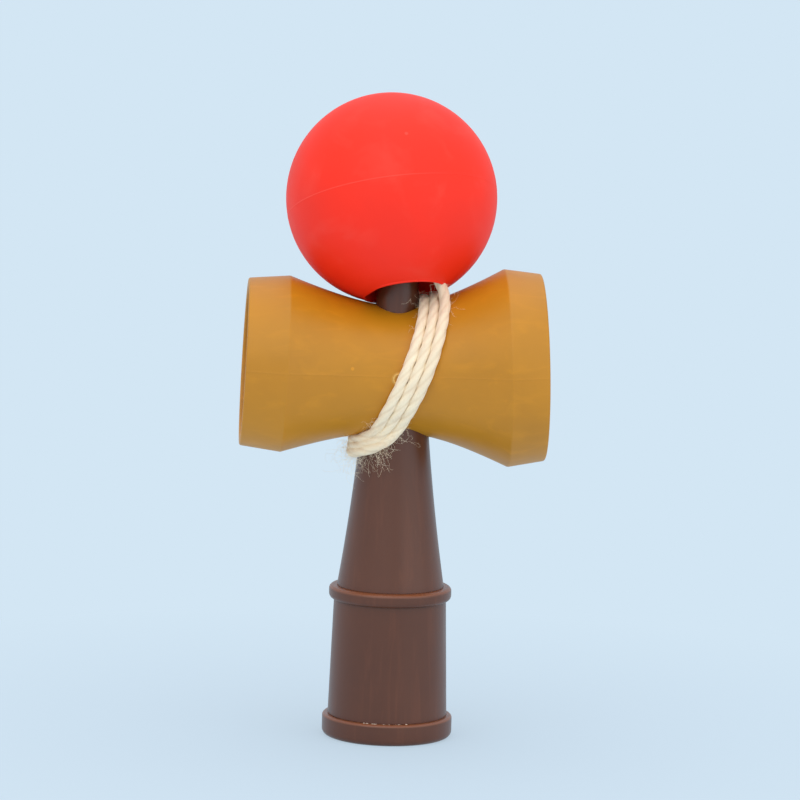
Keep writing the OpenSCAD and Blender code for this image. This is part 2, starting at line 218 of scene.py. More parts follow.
class StageSizes(bpy.types.PropertyGroup):
    """Place of the camera."""

    azimuth: angle("Azimuth", "Turn of the camera round the toy", -3.352)
    elevation: angle("Elevation", "Height of the camera above the horizon", 7.282)
    roll: angle("Roll", "Tilt of the camera", 1.55)
    distance: size("Distance", "Distance of the camera from the point it aims at", 704.1 * MM)
    aim_z: size("Aim height", "Height of the point that the camera aims at", 55 * MM)
    shift_x: size("Sidestep", "Sideways shift of the camera", 0.778 * MM)
    shift_z: size("Rise", "Upward shift of the camera", 1.408 * MM)
    lens: bpy.props.FloatProperty(name="Lens", description="Focal length in millimetres", default=191)
    floor_size: size("Floor size", "Half width of the floor", 12)


# Node trees

# A ply's radius as a share of the string's, and a loose fibre's points, stray and waves.
PLY_R = 0.78
FIBRE_POINTS = 18
FIBRE_STRAY = 0.8
FIBRE_WAVES = 2.6


class Nodes:
    """A node tree, with short ways to add nodes and to join them."""

    def __init__(self, tree):
        self.tree = tree

    @classmethod
    def group(cls, name, kind, inputs, outputs):
        """A new group with named sockets, and the sockets that lead into it and out of it."""
        tree = bpy.data.node_groups.new(name, kind)
        for direction, sockets in (("INPUT", inputs), ("OUTPUT", outputs)):
            for label, socket in sockets.items():
                tree.interface.new_socket(label, in_out=direction, socket_type="NodeSocket" + socket)
        given = tree.nodes.new("NodeGroupInput").outputs
        return cls(tree), given, tree.nodes.new("NodeGroupOutput").inputs

    def feed(self, value, socket):
        """Joins an output to an input, or sets a plain value on it."""
        if isinstance(value, bpy.types.NodeSocket):
            self.tree.links.new(value, socket)
        else:
            socket.default_value = value

    def add(self, kind, inputs=None, **settings):
        """The outputs of a node with its settings and with its inputs, by name or number."""
        node = self.tree.nodes.new(kind)
        for name, value in settings.items():
            setattr(node, name, value)
        for key, value in (inputs or {}).items():
            self.feed(value, node.inputs[key])
        return node.outputs

    def get(self, kind, inputs=None, **settings):
        """The first output of such a node."""
        return self.add(kind, inputs, **settings)[0]

    def calc(self, operation, *values):
        """The result of a Math node."""
        return self.get("ShaderNodeMath", dict(enumerate(values)), operation=operation)

    def plus(self, first, second):
        """The sum of two values."""
        return self.calc("ADD", first, second)

    def minus(self, first, second):
        """The difference of two values."""
        return self.calc("SUBTRACT", first, second)

    def times(self, first, *others):
        """The product of two or more values."""
        for other in others:
            first = self.calc("MULTIPLY", first, other)
        return first

    def times_plus(self, first, second, third):
        """The product of two values, plus a third."""
        return self.calc("MULTIPLY_ADD", first, second, third)

    def vector(self, operation, *values):
        """The vector of a Vector Math node."""
        return self.get("ShaderNodeVectorMath", dict(enumerate(values)), operation=operation)

    def measure(self, operation, *values):
        """The number of a Vector Math node, such as a length."""
        return self.add("ShaderNodeVectorMath", dict(enumerate(values)), operation=operation)["Value"]

    def scaled(self, vector, factor):
        """A vector times a number."""
        return self.get("ShaderNodeVectorMath", {0: vector, "Scale": factor}, operation="SCALE")

    def joined(self, x, y, z):
        """A vector from three numbers."""
        return self.get("ShaderNodeCombineXYZ", {0: x, 1: y, 2: z})

    def parts(self, vector):
        """The three numbers of a vector."""
        return self.add("ShaderNodeSeparateXYZ", {0: vector})

    def noise(self, vector, scale=1.0, **values):
        """The grey value of a Noise Texture."""
        return self.get("ShaderNodeTexNoise", {"Vector": vector, "Scale": scale, **values})

    def ranged(self, value, low, high, to_low, to_high):
        """A value carried from one range to another, and held inside it."""
        return self.get("ShaderNodeMapRange", {0: value, 1: low, 2: high, 3: to_low, 4: to_high})

    def mixed(self, factor, first, second):
        """A mix of two colours."""
        return self.add("ShaderNodeMix", {0: factor, 6: first, 7: second}, data_type="RGBA")[2]

    def object_point(self):
        """The place on the piece in the shared frame."""
        return self.add("ShaderNodeTexCoord")["Object"]

    def placed(self, group, **inputs):
        """The outputs of a node group placed in a material, with its own values."""
        named = {key.replace("_", " ").title(): value for key, value in inputs.items()}
        return self.add("ShaderNodeGroup", named, node_tree=group)

    def relief(self, shader, height, distance, strength):
        """Gives a shader a bump."""
        bump = self.get("ShaderNodeBump",
                        {"Height": height, "Distance": distance, "Strength": strength})
        self.feed(bump, shader.inputs["Normal"])

    def named(self, name, kind="FLOAT"):
        """An attribute that was stored before."""
        return self.get("GeometryNodeInputNamedAttribute", {"Name": name}, data_type=kind)

    def stored(self, geometry, name, value, kind="FLOAT", domain="POINT"):
        """Geometry with one more attribute."""
        return self.get("GeometryNodeStoreNamedAttribute",
                        {"Geometry": geometry, "Name": name, "Value": value},
                        data_type=kind, domain=domain)

    def end(self, geometry, material, output):
        """The end of every tree: smooth faces, real geometry and one material."""
        smooth = self.get("GeometryNodeSetShadeSmooth", {"Geometry": geometry})
        real = self.get("GeometryNodeRealizeInstances", {"Geometry": smooth})
        done = self.get("GeometryNodeSetMaterial", {"Geometry": real, "Material": material})
        self.feed(done, output)
        return self.tree


def made_once(build):
    """Keeps what a function builds, so that it is built only once."""
    kept = {}

    def get(*values):
        if values not in kept:
            kept[values] = build(*values)
        return kept[values]

    return get


@made_once
def turned_tree():
    """Turns an outline about Z: a grid rolls up, with one row of vertices for each outline point."""
    nodes, given, out = Nodes.group(
        "turned_piece", "GeometryNodeTree",
        {"Outline": "Geometry", "Segments": "Int", "Crowding": "Float", "Ridge Width": "Float",
         "Material": "Material"},
        {"Geometry": "Geometry"})
    outline = given["Outline"]
    count = nodes.add("GeometryNodeAttributeDomainSize", {"Geometry": outline})["Point Count"]
    rows = nodes.minus(count, 1)
    grid = nodes.get("GeometryNodeMeshGrid",
                     {"Size X": 1, "Size Y": rows, "Vertices X": nodes.plus(given["Segments"], 1),
                      "Vertices Y": count})
    position = nodes.get("GeometryNodeInputPosition")
    place = nodes.parts(position)
    row = nodes.calc("ROUND", nodes.times_plus(rows, 0.5, place["Y"]))
    share = nodes.plus(place["X"], 0.5)
    crowd = nodes.calc("SINE", nodes.times(share, 4 * math.pi))
    turn = nodes.minus(nodes.times(share, 2 * math.pi), nodes.times(crowd, given["Crowding"], 0.5))
    sine = nodes.calc("SINE", turn)

    def in_row(value, kind):
        """A value of the outline's point in this row."""
        return nodes.get("GeometryNodeSampleIndex", {"Geometry": outline, "Value": value, "Index": row},
                         data_type=kind)

    here = nodes.parts(in_row(position, "FLOAT_VECTOR"))
    ridge = in_row(nodes.named("ridge"), "FLOAT")
    across = nodes.calc("DIVIDE", nodes.times(here["X"], sine), given["Ridge Width"])
    falling = nodes.calc("EXPONENT", nodes.times(across, across, -1))
    radius = nodes.times_plus(ridge, falling, here["X"])
    cosine = nodes.calc("COSINE", turn)
    rolled = nodes.joined(nodes.times(radius, cosine), nodes.times(radius, sine), here["Z"])
    shape = nodes.get("GeometryNodeSetPosition", {"Geometry": grid, "Position": rolled})
    closed = nodes.get("GeometryNodeMergeByDistance", {"Geometry": shape, "Distance": 1e-7})
    return nodes.end(closed, given["Material"], out[0])


@made_once
def string_tree():
    """Lays a string of three twisted plies along a route."""
    nodes, given, out = Nodes.group(
        "laid_string", "GeometryNodeTree",
        {"Route": "Geometry", "Thickness": "Float", "Lay": "Float", "Sides": "Int",
         "Material": "Material"},
        {"Geometry": "Geometry"})
    third = 2 * math.pi / 3
    line = nodes.get("GeometryNodeMeshToCurve", {"Mesh": given["Route"]})
    along = nodes.add("GeometryNodeSplineParameter")["Length"]
    twist = nodes.times(nodes.calc("DIVIDE", along, given["Lay"]), 2 * math.pi)
    line = nodes.get("GeometryNodeSetCurveTilt", {"Curve": line, "Tilt": twist})
    line = nodes.stored(line, "along", along)
    ring = nodes.get("GeometryNodeCurvePrimitiveCircle", {"Resolution": given["Sides"], "Radius": 1})
    position = nodes.get("GeometryNodeInputPosition")
    place = nodes.parts(position)
    around = nodes.calc("ARCTAN2", place["Y"], place["X"])
    ply = nodes.times(nodes.calc("ROUND", nodes.calc("DIVIDE", around, third)), third)
    off = nodes.minus(around, ply)
    reach = nodes.times(nodes.calc("COSINE", off), 1 - PLY_R)
    aside = nodes.times(nodes.calc("SINE", off), 1 - PLY_R)
    rest = nodes.calc("SQRT", nodes.minus(PLY_R * PLY_R, nodes.times(aside, aside)))
    lobe = nodes.times(nodes.plus(reach, rest), nodes.times(given["Thickness"], 0.5))
    ring = nodes.get("GeometryNodeSetPosition",
                     {"Geometry": ring, "Position": nodes.scaled(position, lobe)})
    ring = nodes.stored(ring, "around", position, "FLOAT_VECTOR")
    tube = nodes.get("GeometryNodeCurveToMesh",
                     {"Curve": line, "Profile Curve": ring, "Fill Caps": True})
    kept = nodes.parts(nodes.named("around", "FLOAT_VECTOR"))
    straight = nodes.joined(kept["X"], kept["Y"], nodes.named("along"))
    tube = nodes.stored(tube, "lay_point", straight, "FLOAT_VECTOR")
    return nodes.end(tube, given["Material"], out[0])


@made_once
def fuzz_tree():
    """Grows loose curly fibres from a surface, thickest where its fuzz attribute is high."""
    nodes, given, out = Nodes.group(
        "loose_fibres", "GeometryNodeTree",
        {"Surface": "Geometry", "Density": "Float", "Length": "Float", "Radius": "Float",
         "Curl": "Float", "Droop": "Float", "Seed": "Int", "Material": "Material"},
        {"Geometry": "Geometry"})

    def random(kind, low, high, step):
        """A random value for each fibre, from a seed of its own."""
        seed = nodes.plus(given["Seed"], step)
        node = nodes.tree.nodes.new("FunctionNodeRandomValue")
        node.data_type = kind
        ends = [socket for socket in node.inputs if socket.enabled and socket.name in ("Min", "Max")]
        for value, socket in zip((low, high, seed), ends + [node.inputs["Seed"]]):
            nodes.feed(value, socket)
        return next(socket for socket in node.outputs if socket.enabled)

    fuzz = nodes.named("fuzz")
    roots = nodes.add("GeometryNodeDistributePointsOnFaces",
                      {"Mesh": given["Surface"], "Density": nodes.times(fuzz, given["Density"]),
                       "Seed": given["Seed"]})
    kept = nodes.stored(roots["Points"], "root_normal", roots["Normal"], "FLOAT_VECTOR")
    stray = random("FLOAT_VECTOR", (-FIBRE_STRAY,) * 3, (FIBRE_STRAY,) * 3, 1)
    droop = nodes.joined(0.0, 0.0, nodes.times(given["Droop"], fuzz, -1))
    way = nodes.vector("ADD", nodes.named("root_normal", "FLOAT_VECTOR"), stray)
    way = nodes.vector("ADD", way, droop)
    facing = nodes.get("FunctionNodeAlignRotationToVector", {"Vector": way}, axis="Z")
    short = nodes.calc("POWER", random("FLOAT", 0.0, 1.0, 2), 1.6)
    thick = nodes.calc("MINIMUM", nodes.times_plus(fuzz, 0.28, 0.22), 1.0)
    reach = nodes.times(nodes.times_plus(short, 0.85, 0.15), given["Length"], thick)
    line = nodes.get("GeometryNodeCurvePrimitiveLine", {"End": (0.0, 0.0, 1.0)})
    line = nodes.get("GeometryNodeResampleCurve", {"Curve": line, "Count": FIBRE_POINTS})
    fibres = nodes.get("GeometryNodeInstanceOnPoints",
                       {"Points": kept, "Instance": line, "Rotation": facing,
                        "Scale": nodes.joined(reach, reach, reach)})
    own = random("FLOAT_VECTOR", (0.0,) * 3, (90.0,) * 3, 3)
    fibres = nodes.stored(fibres, "fibre", own, "FLOAT_VECTOR", "INSTANCE")
    fibres = nodes.stored(fibres, "reach", reach, domain="INSTANCE")
    fibres = nodes.get("GeometryNodeRealizeInstances", {"Geometry": fibres})
    share = nodes.add("GeometryNodeSplineParameter")["Factor"]
    at = nodes.vector("ADD", nodes.named("fibre", "FLOAT_VECTOR"),
                      nodes.joined(nodes.times(share, FIBRE_WAVES), 0.0, 0.0))
    waves = nodes.add("ShaderNodeTexNoise", {"Vector": at, "Scale": 1.0, "Detail": 1.0})["Color"]
    sway = nodes.vector("SUBTRACT", waves, (0.5, 0.5, 0.5))
    growth = nodes.times(share, nodes.named("reach"), given["Curl"])
    fibres = nodes.get("GeometryNodeSetPosition",
                       {"Geometry": fibres, "Offset": nodes.scaled(sway, growth)})
    profile = nodes.get("GeometryNodeCurvePrimitiveCircle",
                        {"Resolution": 3, "Radius": given["Radius"]})
    hairs = nodes.get("GeometryNodeCurveToMesh",
                      {"Curve": fibres, "Profile Curve": profile, "Fill Caps": True})
    return nodes.end(hairs, given["Material"], out[0])


@made_once
def speck_tree():
    """Strews small lumps along a line, each at its own size."""
    nodes, given, out = Nodes.group(
        "glue_specks", "GeometryNodeTree",
        {"Line": "Geometry", "Count": "Int", "Size": "Float", "Seed": "Int", "Material": "Material"},
        {"Geometry": "Geometry"})
    line = nodes.get("GeometryNodeMeshToCurve", {"Mesh": given["Line"]})
    points = nodes.add("GeometryNodeCurveToPoints", {"Curve": line, "Count": given["Count"]})["Points"]
    chance = nodes.add("FunctionNodeRandomValue", {"Seed": given["Seed"]}, data_type="FLOAT")[1]
    big = nodes.times(nodes.calc("POWER", chance, 3.0), given["Size"])
    lump = nodes.get("GeometryNodeMeshIcoSphere", {"Radius": 1.0, "Subdivisions": 2})
    flat = nodes.joined(nodes.times(big, 1.4), big, nodes.times(big, 0.7))
    lumps = nodes.get("GeometryNodeInstanceOnPoints",
                      {"Points": points, "Instance": lump, "Scale": flat})
    return nodes.end(lumps, given["Material"], out[0])


# Meshes


def settle(piece, tree, **values):
    """Runs a tree on a piece, keeps the result as its plain mesh and takes the tree off again."""
    modifier = piece.modifiers.new(tree.name, "NODES")
    modifier.node_group = tree
    for item in tree.interface.items_tree:
        key = item.name.lower().replace(" ", "_")
        if item.in_out == "INPUT" and key in values:
            modifier[item.identifier] = values[key]
    graph = bpy.context.evaluated_depsgraph_get()
    mesh = bpy.data.meshes.new_from_object(piece.evaluated_get(graph), preserve_all_data_layers=True,
                                           depsgraph=graph)
    if not mesh.polygons:
        raise RuntimeError(f"{piece.name} has no faces")
    piece.modifiers.remove(modifier)
    swap_mesh(piece, mesh)


def swap_mesh(piece, mesh):
    """Gives a piece a new mesh and deletes the old one."""
    old = piece.data
    piece.data = mesh
    bpy.data.meshes.remove(old)
    mesh.name = piece.name


def line_piece(name, points):
    """An object whose mesh is one line through the points."""
    mesh = bpy.data.meshes.new(name)
    edges = [(i, i + 1) for i in range(len(points) - 1)]
    mesh.from_pydata([tuple(point) for point in points], edges, [])
    piece = bpy.data.objects.new(name, mesh)
    bpy.context.scene.collection.objects.link(piece)
    return piece


def arc(center, radius, start, end, steps=12):
    """Outline points on an arc, between two angles in degrees."""
    turns = [math.radians(start + (end - start) * i / steps) for i in range(steps + 1)]
    return [(center[0] + radius * math.cos(a), center[1] + radius * math.sin(a)) for a in turns]


def quarter_turn(steps):
    """Even angles from 0 to a right angle."""
    return [math.pi / 2 * i / steps for i in range(steps + 1)]


def soften(points, radii, steps=5):
    """An outline with some of its corners rounded; radii gives the radius for each corner's number."""
    result = []
    for i, point in enumerate(points):
        if i not in radii:
            result.append(point)
            continue
        corner = Vector(point)
        before = (Vector(points[i - 1]) - corner).normalized()
        after = (Vector(points[i + 1]) - corner).normalized()
        half = before.angle(after) / 2
        center = corner + (before + after).normalized() * radii[i] / math.sin(half)
        first = corner + before * radii[i] / math.tan(half) - center
        swing = math.pi - 2 * half
        if first.x * after.y - first.y * after.x < 0:
            swing = -swing
        start = math.degrees(math.atan2(first.y, first.x))
        result += arc(center, radii[i], start, start + math.degrees(swing), steps)
    return result


def turned(name, outline, material, segments=FINE_TURN, ridges=None, crowding=0.0, ridge_width=1.0):
    """A closed piece turned about Z from an outline of (radius, height) points."""
    piece = line_piece(name, [(radius, 0, height) for radius, height in outline])
    if ridges:
        piece.data.attributes.new("ridge", "FLOAT", "POINT").data.foreach_set("value", ridges)
    settle(piece, turned_tree(), segments=segments, crowding=crowding, ridge_width=ridge_width,
           material=material)
    return piece


def close_up(piece, place=None, sharp=32):
    """Sets a piece's mesh in place, turns its faces outwards and keeps its hard edges."""
    if place is not None:
        piece.data.transform(place)
    mesh = bmesh.new()
    mesh.from_mesh(piece.data)
    bmesh.ops.recalc_face_normals(mesh, faces=mesh.faces)
    mesh.to_mesh(piece.data)
    mesh.free()
    piece.data.shade_smooth()
    piece.data.set_sharp_from_angle(angle=math.radians(sharp))


def carve(piece, tool, operation="DIFFERENCE"):
    """Cuts a closed shape out of a piece, or joins it on, and deletes the shape."""
    modifier = piece.modifiers.new("carve", "BOOLEAN")
    modifier.operation = operation
    modifier.solver = "EXACT"
    modifier.object = tool
    graph = bpy.context.evaluated_depsgraph_get()
    mesh = bpy.data.meshes.new_from_object(piece.evaluated_get(graph), depsgraph=graph)
    piece.modifiers.remove(modifier)
    swap_mesh(piece, mesh)
    bpy.data.objects.remove(tool)


def vertex_places(mesh):
    """The coordinates of a mesh's vertices, as three rows."""
    places = np.empty(len(mesh.vertices) * 3, np.float32)
    mesh.vertices.foreach_get("co", places)
    return places.reshape(-1, 3).T


def move_vertices(mesh, x, y, z):
    """Gives a mesh's vertices new coordinates."""
    mesh.vertices.foreach_set("co", np.column_stack([x, y, z]).astype(np.float32).ravel())


def keep(piece, slot, body, *nodes):
    """Hands a finished piece over to the frame."""
    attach(piece, body)
    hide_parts(*nodes)


# Materials

# Scale of the plastics' fine grain, and the colour of the crosspiece's gate mark.
GRAIN_SCALE = 5200.0
GATE_PALE = (0.95, 0.66, 0.22, 1)


@made_once
def skin_group():
    """The marks that moulding leaves in a plastic: clouds of tone, fine grain and flow streaks."""
    nodes, given, out = Nodes.group(
        "moulded_skin", "ShaderNodeTree",
        {"Vector": "Vector", "Cloud Scale": "Float", "Grain Scale": "Float", "Flow": "Vector"},
        {"Cloud": "Float", "Grain": "Float", "Streak": "Float"})
    at = given["Vector"]
    along = nodes.vector("MULTIPLY", at, given["Flow"])
    nodes.feed(nodes.noise(at, given["Cloud Scale"], Detail=3.0), out["Cloud"])
    nodes.feed(nodes.noise(at, given["Grain Scale"], Detail=2.0), out["Grain"])
    nodes.feed(nodes.noise(along, Detail=3.0, Roughness=0.55, Distortion=0.6), out["Streak"])
    return nodes.tree


@made_once
def speck_group():
    """Small scattered specks: a share of the cells of a scatter, each with one spot."""
    nodes, given, out = Nodes.group(
        "scattered_specks", "ShaderNodeTree",
        {"Vector": "Vector", "Scale": "Float", "Share": "Float", "Size": "Float"},
        {"Mask": "Float"})
    cells = nodes.add("ShaderNodeTexVoronoi", {"Vector": given["Vector"], "Scale": given["Scale"]})
    pick = nodes.add("ShaderNodeSeparateColor", {0: cells["Color"]})
    chosen = nodes.calc("LESS_THAN", pick["Red"], given["Share"])
    room = nodes.times(pick["Green"], given["Size"])
    inside = nodes.minus(1.0, nodes.calc("DIVIDE", cells["Distance"], room))
    spot = nodes.times(nodes.calc("MAXIMUM", inside, 0.0), 3.0)
    nodes.feed(nodes.times(nodes.calc("MINIMUM", spot, 1.0), chosen), out["Mask"])
    return nodes.tree


def tone(base, factor=1):
    """A colour made darker or lighter, with an alpha."""
    return tuple(min(1, channel * factor) for channel in base) + (1,)


def new_material(name):
    """A material, its nodes and its bare Principled shader."""
    material = bpy.data.materials.new(name)
    material.use_nodes = True
    return material, Nodes(material.node_tree), material.node_tree.nodes["Principled BSDF"]


def plastic(name, base, pale, rough, clouds, flow, bump, specks):
    """Satin moulded plastic: cloudy tone, fine grain, flow streaks and a few paler specks."""
    material, nodes, shader = new_material(name)
    at = nodes.object_point()
    skin = nodes.placed(skin_group(), vector=at, cloud_scale=clouds, grain_scale=GRAIN_SCALE, flow=flow)
    scale, share, spot = specks
    spots = nodes.placed(speck_group(), vector=at, scale=scale, share=share, size=spot)["Mask"]
    cloudy = nodes.ranged(skin["Cloud"], 0.3, 0.7, 0.0, 1.0)
    shade = nodes.mixed(cloudy, tone(base, 0.9), tone(base, 1.07))
    shade = nodes.mixed(nodes.ranged(skin["Streak"], 0.52, 0.72, 0.0, 0.2), shade, pale)
    shade = nodes.mixed(nodes.times(spots, 0.6), shade, pale)
    nodes.feed(shade, shader.inputs["Base Color"])
    uneven = nodes.ranged(skin["Cloud"], 0.25, 0.75, rough - 0.05, rough + 0.06)
    nodes.feed(uneven, shader.inputs["Roughness"])
    height = nodes.times_plus(spots, 1.2, nodes.times_plus(skin["Streak"], 1.6, skin["Grain"]))
    nodes.relief(shader, height, bump, 0.5)
    return material, nodes, shader, shade


def hues(context):
    """The toy's colours."""
    return context.scene.toy_colours


@made_once
def brown_plastic(base):
    """Dark brown satin plastic of the handle, with faint streaks along it and a painted highlight on
    its upward-facing surfaces.
    """
    material, nodes, shader, shade = plastic(
        "brown_plastic", base, tone(base, 1.9), rough=0.34, clouds=90.0, flow=(700.0, 700.0, 60.0),
        bump=0.012 * MM, specks=(420.0, 0.05, 0.16))
    shader.inputs["IOR"].default_value = 1.52
    # Painted highlight: surfaces that face up get a paler, warmer colour, as if lit from above.
    rising = nodes.parts(nodes.add("ShaderNodeNewGeometry")["Normal"])["Z"]
    painted_top_light = (base[0] * 2.3, base[1] * 2.5, base[2] * 2.6, 1)
    shade = nodes.mixed(nodes.ranged(rising, 0.1, 0.6, 0.0, 0.9), shade, painted_top_light)
    nodes.feed(shade, shader.inputs["Base Color"])
    return material


@made_once
def ochre_plastic(base, gate, gate_r):
    """Ochre satin plastic of the crosspiece, with flow marks round it and a pale gate mark in front."""
    material, nodes, shader, shade = plastic(
        "ochre_plastic", base, tone(base, 1.45), rough=0.44, clouds=75.0, flow=(130.0, 420.0, 420.0),
        bump=0.014 * MM, specks=(380.0, 0.07, 0.2))
    off = nodes.minus(nodes.measure("DISTANCE", nodes.object_point(), gate), gate_r)
    near = nodes.ranged(nodes.calc("ABSOLUTE", off), 0.0, 0.4 * MM, 0.55, 0.0)
    nodes.feed(nodes.mixed(near, shade, GATE_PALE), shader.inputs["Base Color"])
    return material


@made_once
def red_plastic(base, center, up, seam_h):
    """Bright red semi-matte plastic of the ball, with a few nicks and a painted highlight along its
    seam that fades towards +X.
    """
    pale = (1, base[1] + 0.06, base[2] + 0.05, 1)
    material, nodes, shader, shade = plastic(
        "red_plastic", base, pale, rough=0.55, clouds=60.0, flow=(160.0, 160.0, 160.0),
        bump=0.008 * MM, specks=(230.0, 0.06, 0.12))
    shader.inputs["Specular IOR Level"].default_value = 0.42
    off = nodes.vector("SUBTRACT", nodes.object_point(), center)
    # Painted highlight: a pale line along the seam, full on the -X side of the ball's middle and fading
    # to a tenth towards +X.
    away = nodes.calc("ABSOLUTE", nodes.minus(nodes.measure("DOT_PRODUCT", off, up), seam_h))
    line = nodes.ranged(away, 0.03 * MM, 0.13 * MM, 0.6, 0.0)
    line = nodes.times(line, nodes.ranged(nodes.parts(off)["X"], 0.0, 9 * MM, 1.0, 0.1))
    nodes.feed(nodes.mixed(line, shade, pale), shader.inputs["Base Color"])
    return material


@made_once
def cotton(base, thickness):
    """Twisted cotton: fibres along the plies, with painted shade in the hollows between them."""
    material, nodes, shader = new_material("cotton_string")
    at = nodes.add("ShaderNodeAttribute", attribute_name="lay_point")["Vector"]
    reach = thickness / 2

    def laid(across, along):
        """The place on the laid-out string, in radii, stretched across it and along it."""
        return nodes.vector("MULTIPLY", at, (across / reach, across / reach, along / reach))

    fibres = nodes.noise(laid(9.0, 1.1), Detail=3.0, Distortion=0.4)
    clouds = nodes.noise(laid(0.9, 0.35), Detail=2.0)
    # Painted shade: the colour darkens in the hollows between the plies.
    ply_gap_shade = nodes.ranged(nodes.measure("LENGTH", laid(1.0, 0.0)), 0.84, 0.95, 0.35, 0.0)
    dark = (base[0] * 0.62, base[1] * 0.5, base[2] * 0.38, 1)
    shade = nodes.mixed(nodes.ranged(clouds, 0.3, 0.7, 0.0, 1.0), tone(base, 0.9), tone(base, 1.04))
    shade = nodes.mixed(nodes.ranged(fibres, 0.35, 0.6, 0.2, 0.0), shade, tone(base, 0.8))
    nodes.feed(nodes.mixed(ply_gap_shade, shade, dark), shader.inputs["Base Color"])
    shader.inputs["Roughness"].default_value = 0.9
    shader.inputs["Sheen Weight"].default_value = 0.25
    nodes.relief(shader, fibres, 0.09 * MM, 0.6)
    return material


@made_once
def plain_finish(name, base, rough):
    """A small piece's finish: one tone with faint clouds."""
    material, nodes, shader = new_material(name)
    clouds = nodes.noise(nodes.object_point(), 900.0, Detail=2.0)
    nodes.feed(nodes.mixed(clouds, tone(base, 0.85), tone(base, 1.1)), shader.inputs["Base Color"])
    shader.inputs["Roughness"].default_value = rough
    return material


# Handle


def neck_radius(sizes, z):
    """The neck's radius at a height: a shallow arc bowed inwards."""
    share = min(1, max(0, (z - sizes.ring_top_z) / (sizes.shoulder_z - sizes.ring_top_z)))
    straight = sizes.neck_r + (sizes.shoulder_r - sizes.neck_r) * share
    return straight - 4 * sizes.neck_sag * share * (1 - share)


def neck_line(sizes, low, high, gap=0.0, steps=40):
    """Outline points up the neck between two heights, moved outwards by a gap."""
    heights = [low + (high - low) * i / steps for i in range(steps + 1)]
    return [(neck_radius(sizes, z) + gap, z) for z in heights]


def turn_handle_piece(context, node, outline):
    """Turns a piece of the handle and puts it in its node's place."""
    piece = turned(node + "_dressed", outline, brown_plastic(tuple(hues(context).brown)))
    close_up(piece)
    keep(piece, "brown_plastic", "handle", node)


class TOY_OT_foot_cup(bpy.types.Operator):
    """Turns the flanged foot with the cup under it"""

    bl_idname = "toy.foot_cup"
    bl_label = "Foot cup"

    def execute(self, context):
        sizes = context.scene.toy_handle
        bowl_r = (sizes.foot_cup_r ** 2 + sizes.foot_cup_depth ** 2) / (2 * sizes.foot_cup_depth)
        bowl = (0, sizes.foot_cup_depth - bowl_r)
        mouth = math.degrees(math.asin(-bowl[1] / bowl_r))
        spigot_z = sizes.foot_h + sizes.spigot_h
        low, high = sizes.foot_round, sizes.foot_edge
        outline = (
            arc(bowl, bowl_r, 90, mouth, 24)
            + arc((sizes.foot_r - low, low), low, -90, 0)
            + arc((sizes.foot_r - high, sizes.foot_h - high), high, 0, 90)
            + [(sizes.spigot_r, sizes.foot_h), (sizes.spigot_r, spigot_z), (0, spigot_z)])
        turn_handle_piece(context, "foot_cup", outline)
        return {"FINISHED"}


class TOY_OT_barrel(bpy.types.Operator):
    """Turns the barrel with its ring bead"""

    bl_idname = "toy.barrel"
    bl_label = "Barrel"

    def execute(self, context):
        sizes = context.scene.toy_handle
        ring_z = sizes.ring_top_z - sizes.ring_h
        swell = sizes.ring_r - sizes.barrel_top_r
        under = [(sizes.barrel_top_r + swell * math.sin(a),
                  ring_z + sizes.ring_under * (1 - math.cos(a)))
                 for a in quarter_turn(12)]
        round_r = sizes.ring_edge
        outline = (
            [(sizes.barrel_bore_r, sizes.foot_h), (sizes.barrel_r - sizes.edge, sizes.foot_h),
             (sizes.barrel_r, sizes.foot_h + sizes.edge)]
            + under
            + arc((sizes.ring_r - round_r, sizes.ring_top_z - round_r), round_r, 0, 90)
            + [(sizes.barrel_bore_r, sizes.ring_top_z), (sizes.barrel_bore_r, sizes.foot_h)])
        turn_handle_piece(context, "barrel", outline)
        return {"FINISHED"}


class TOY_OT_neck_and_spike(bpy.types.Operator):
    """Turns the neck, the shank and the spike in one piece"""

    bl_idname = "toy.neck_and_spike"
    bl_label = "Neck and spike"

    def execute(self, context):
        sizes = context.scene.toy_handle
        spigot_z = sizes.ring_top_z - sizes.spigot_h
        hollow_z = sizes.shoulder_z - 2 * sizes.neck_wall
        tip_z = sizes.spike_top_z - sizes.spike_tip_r
        neck = neck_line(sizes, sizes.ring_top_z + sizes.edge, sizes.shoulder_z)
        outline = (
            [(0, hollow_z), (sizes.shoulder_r - sizes.neck_wall, hollow_z),
             (sizes.spigot_r - sizes.neck_wall, spigot_z), (sizes.spigot_r, spigot_z),
             (sizes.spigot_r, sizes.ring_top_z), (sizes.neck_r - sizes.edge, sizes.ring_top_z)]
            + neck
            + [(sizes.shank_r, sizes.shoulder_z), (sizes.shank_r, sizes.shank_top_z)]
            + arc((0, tip_z), sizes.spike_tip_r, 10, 90))
        turn_handle_piece(context, "neck_and_spike", outline)
        return {"FINISHED"}


class TOY_OT_glue_specks(bpy.types.Operator):
    """Strews specks of glue in the crease above the foot's flange"""

    bl_idname = "toy.glue_specks"
    bl_label = "Glue specks"

    # The arc in degrees, its distance from the barrel, and the specks' number, largest size and seed.
    FROM, TO = -117, -74
    PROUD = 0.03 * MM
    COUNT = 52
    BIGGEST = 0.12 * MM
    SEED = 8

    def execute(self, context):
        sizes = context.scene.toy_handle
        crease = arc((0, 0), sizes.barrel_r + self.PROUD, self.FROM, self.TO, 60)
        piece = line_piece("glue_specks", [(x, y, sizes.foot_h) for x, y in crease])
        finish = plain_finish("dried_glue", tuple(hues(context).glue), 0.5)
        settle(piece, speck_tree(), count=self.COUNT, size=self.BIGGEST, seed=self.SEED,
               material=finish)
        close_up(piece, sharp=ROUND_SHARP)
        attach(piece, "handle")
        return {"FINISHED"}


# Crosspiece


def eased(sizes, x):
    """How far the flanks' hyperbola has left the waist at a place along the axis."""
    return math.hypot(x, sizes.waist_ease) - sizes.waist_ease


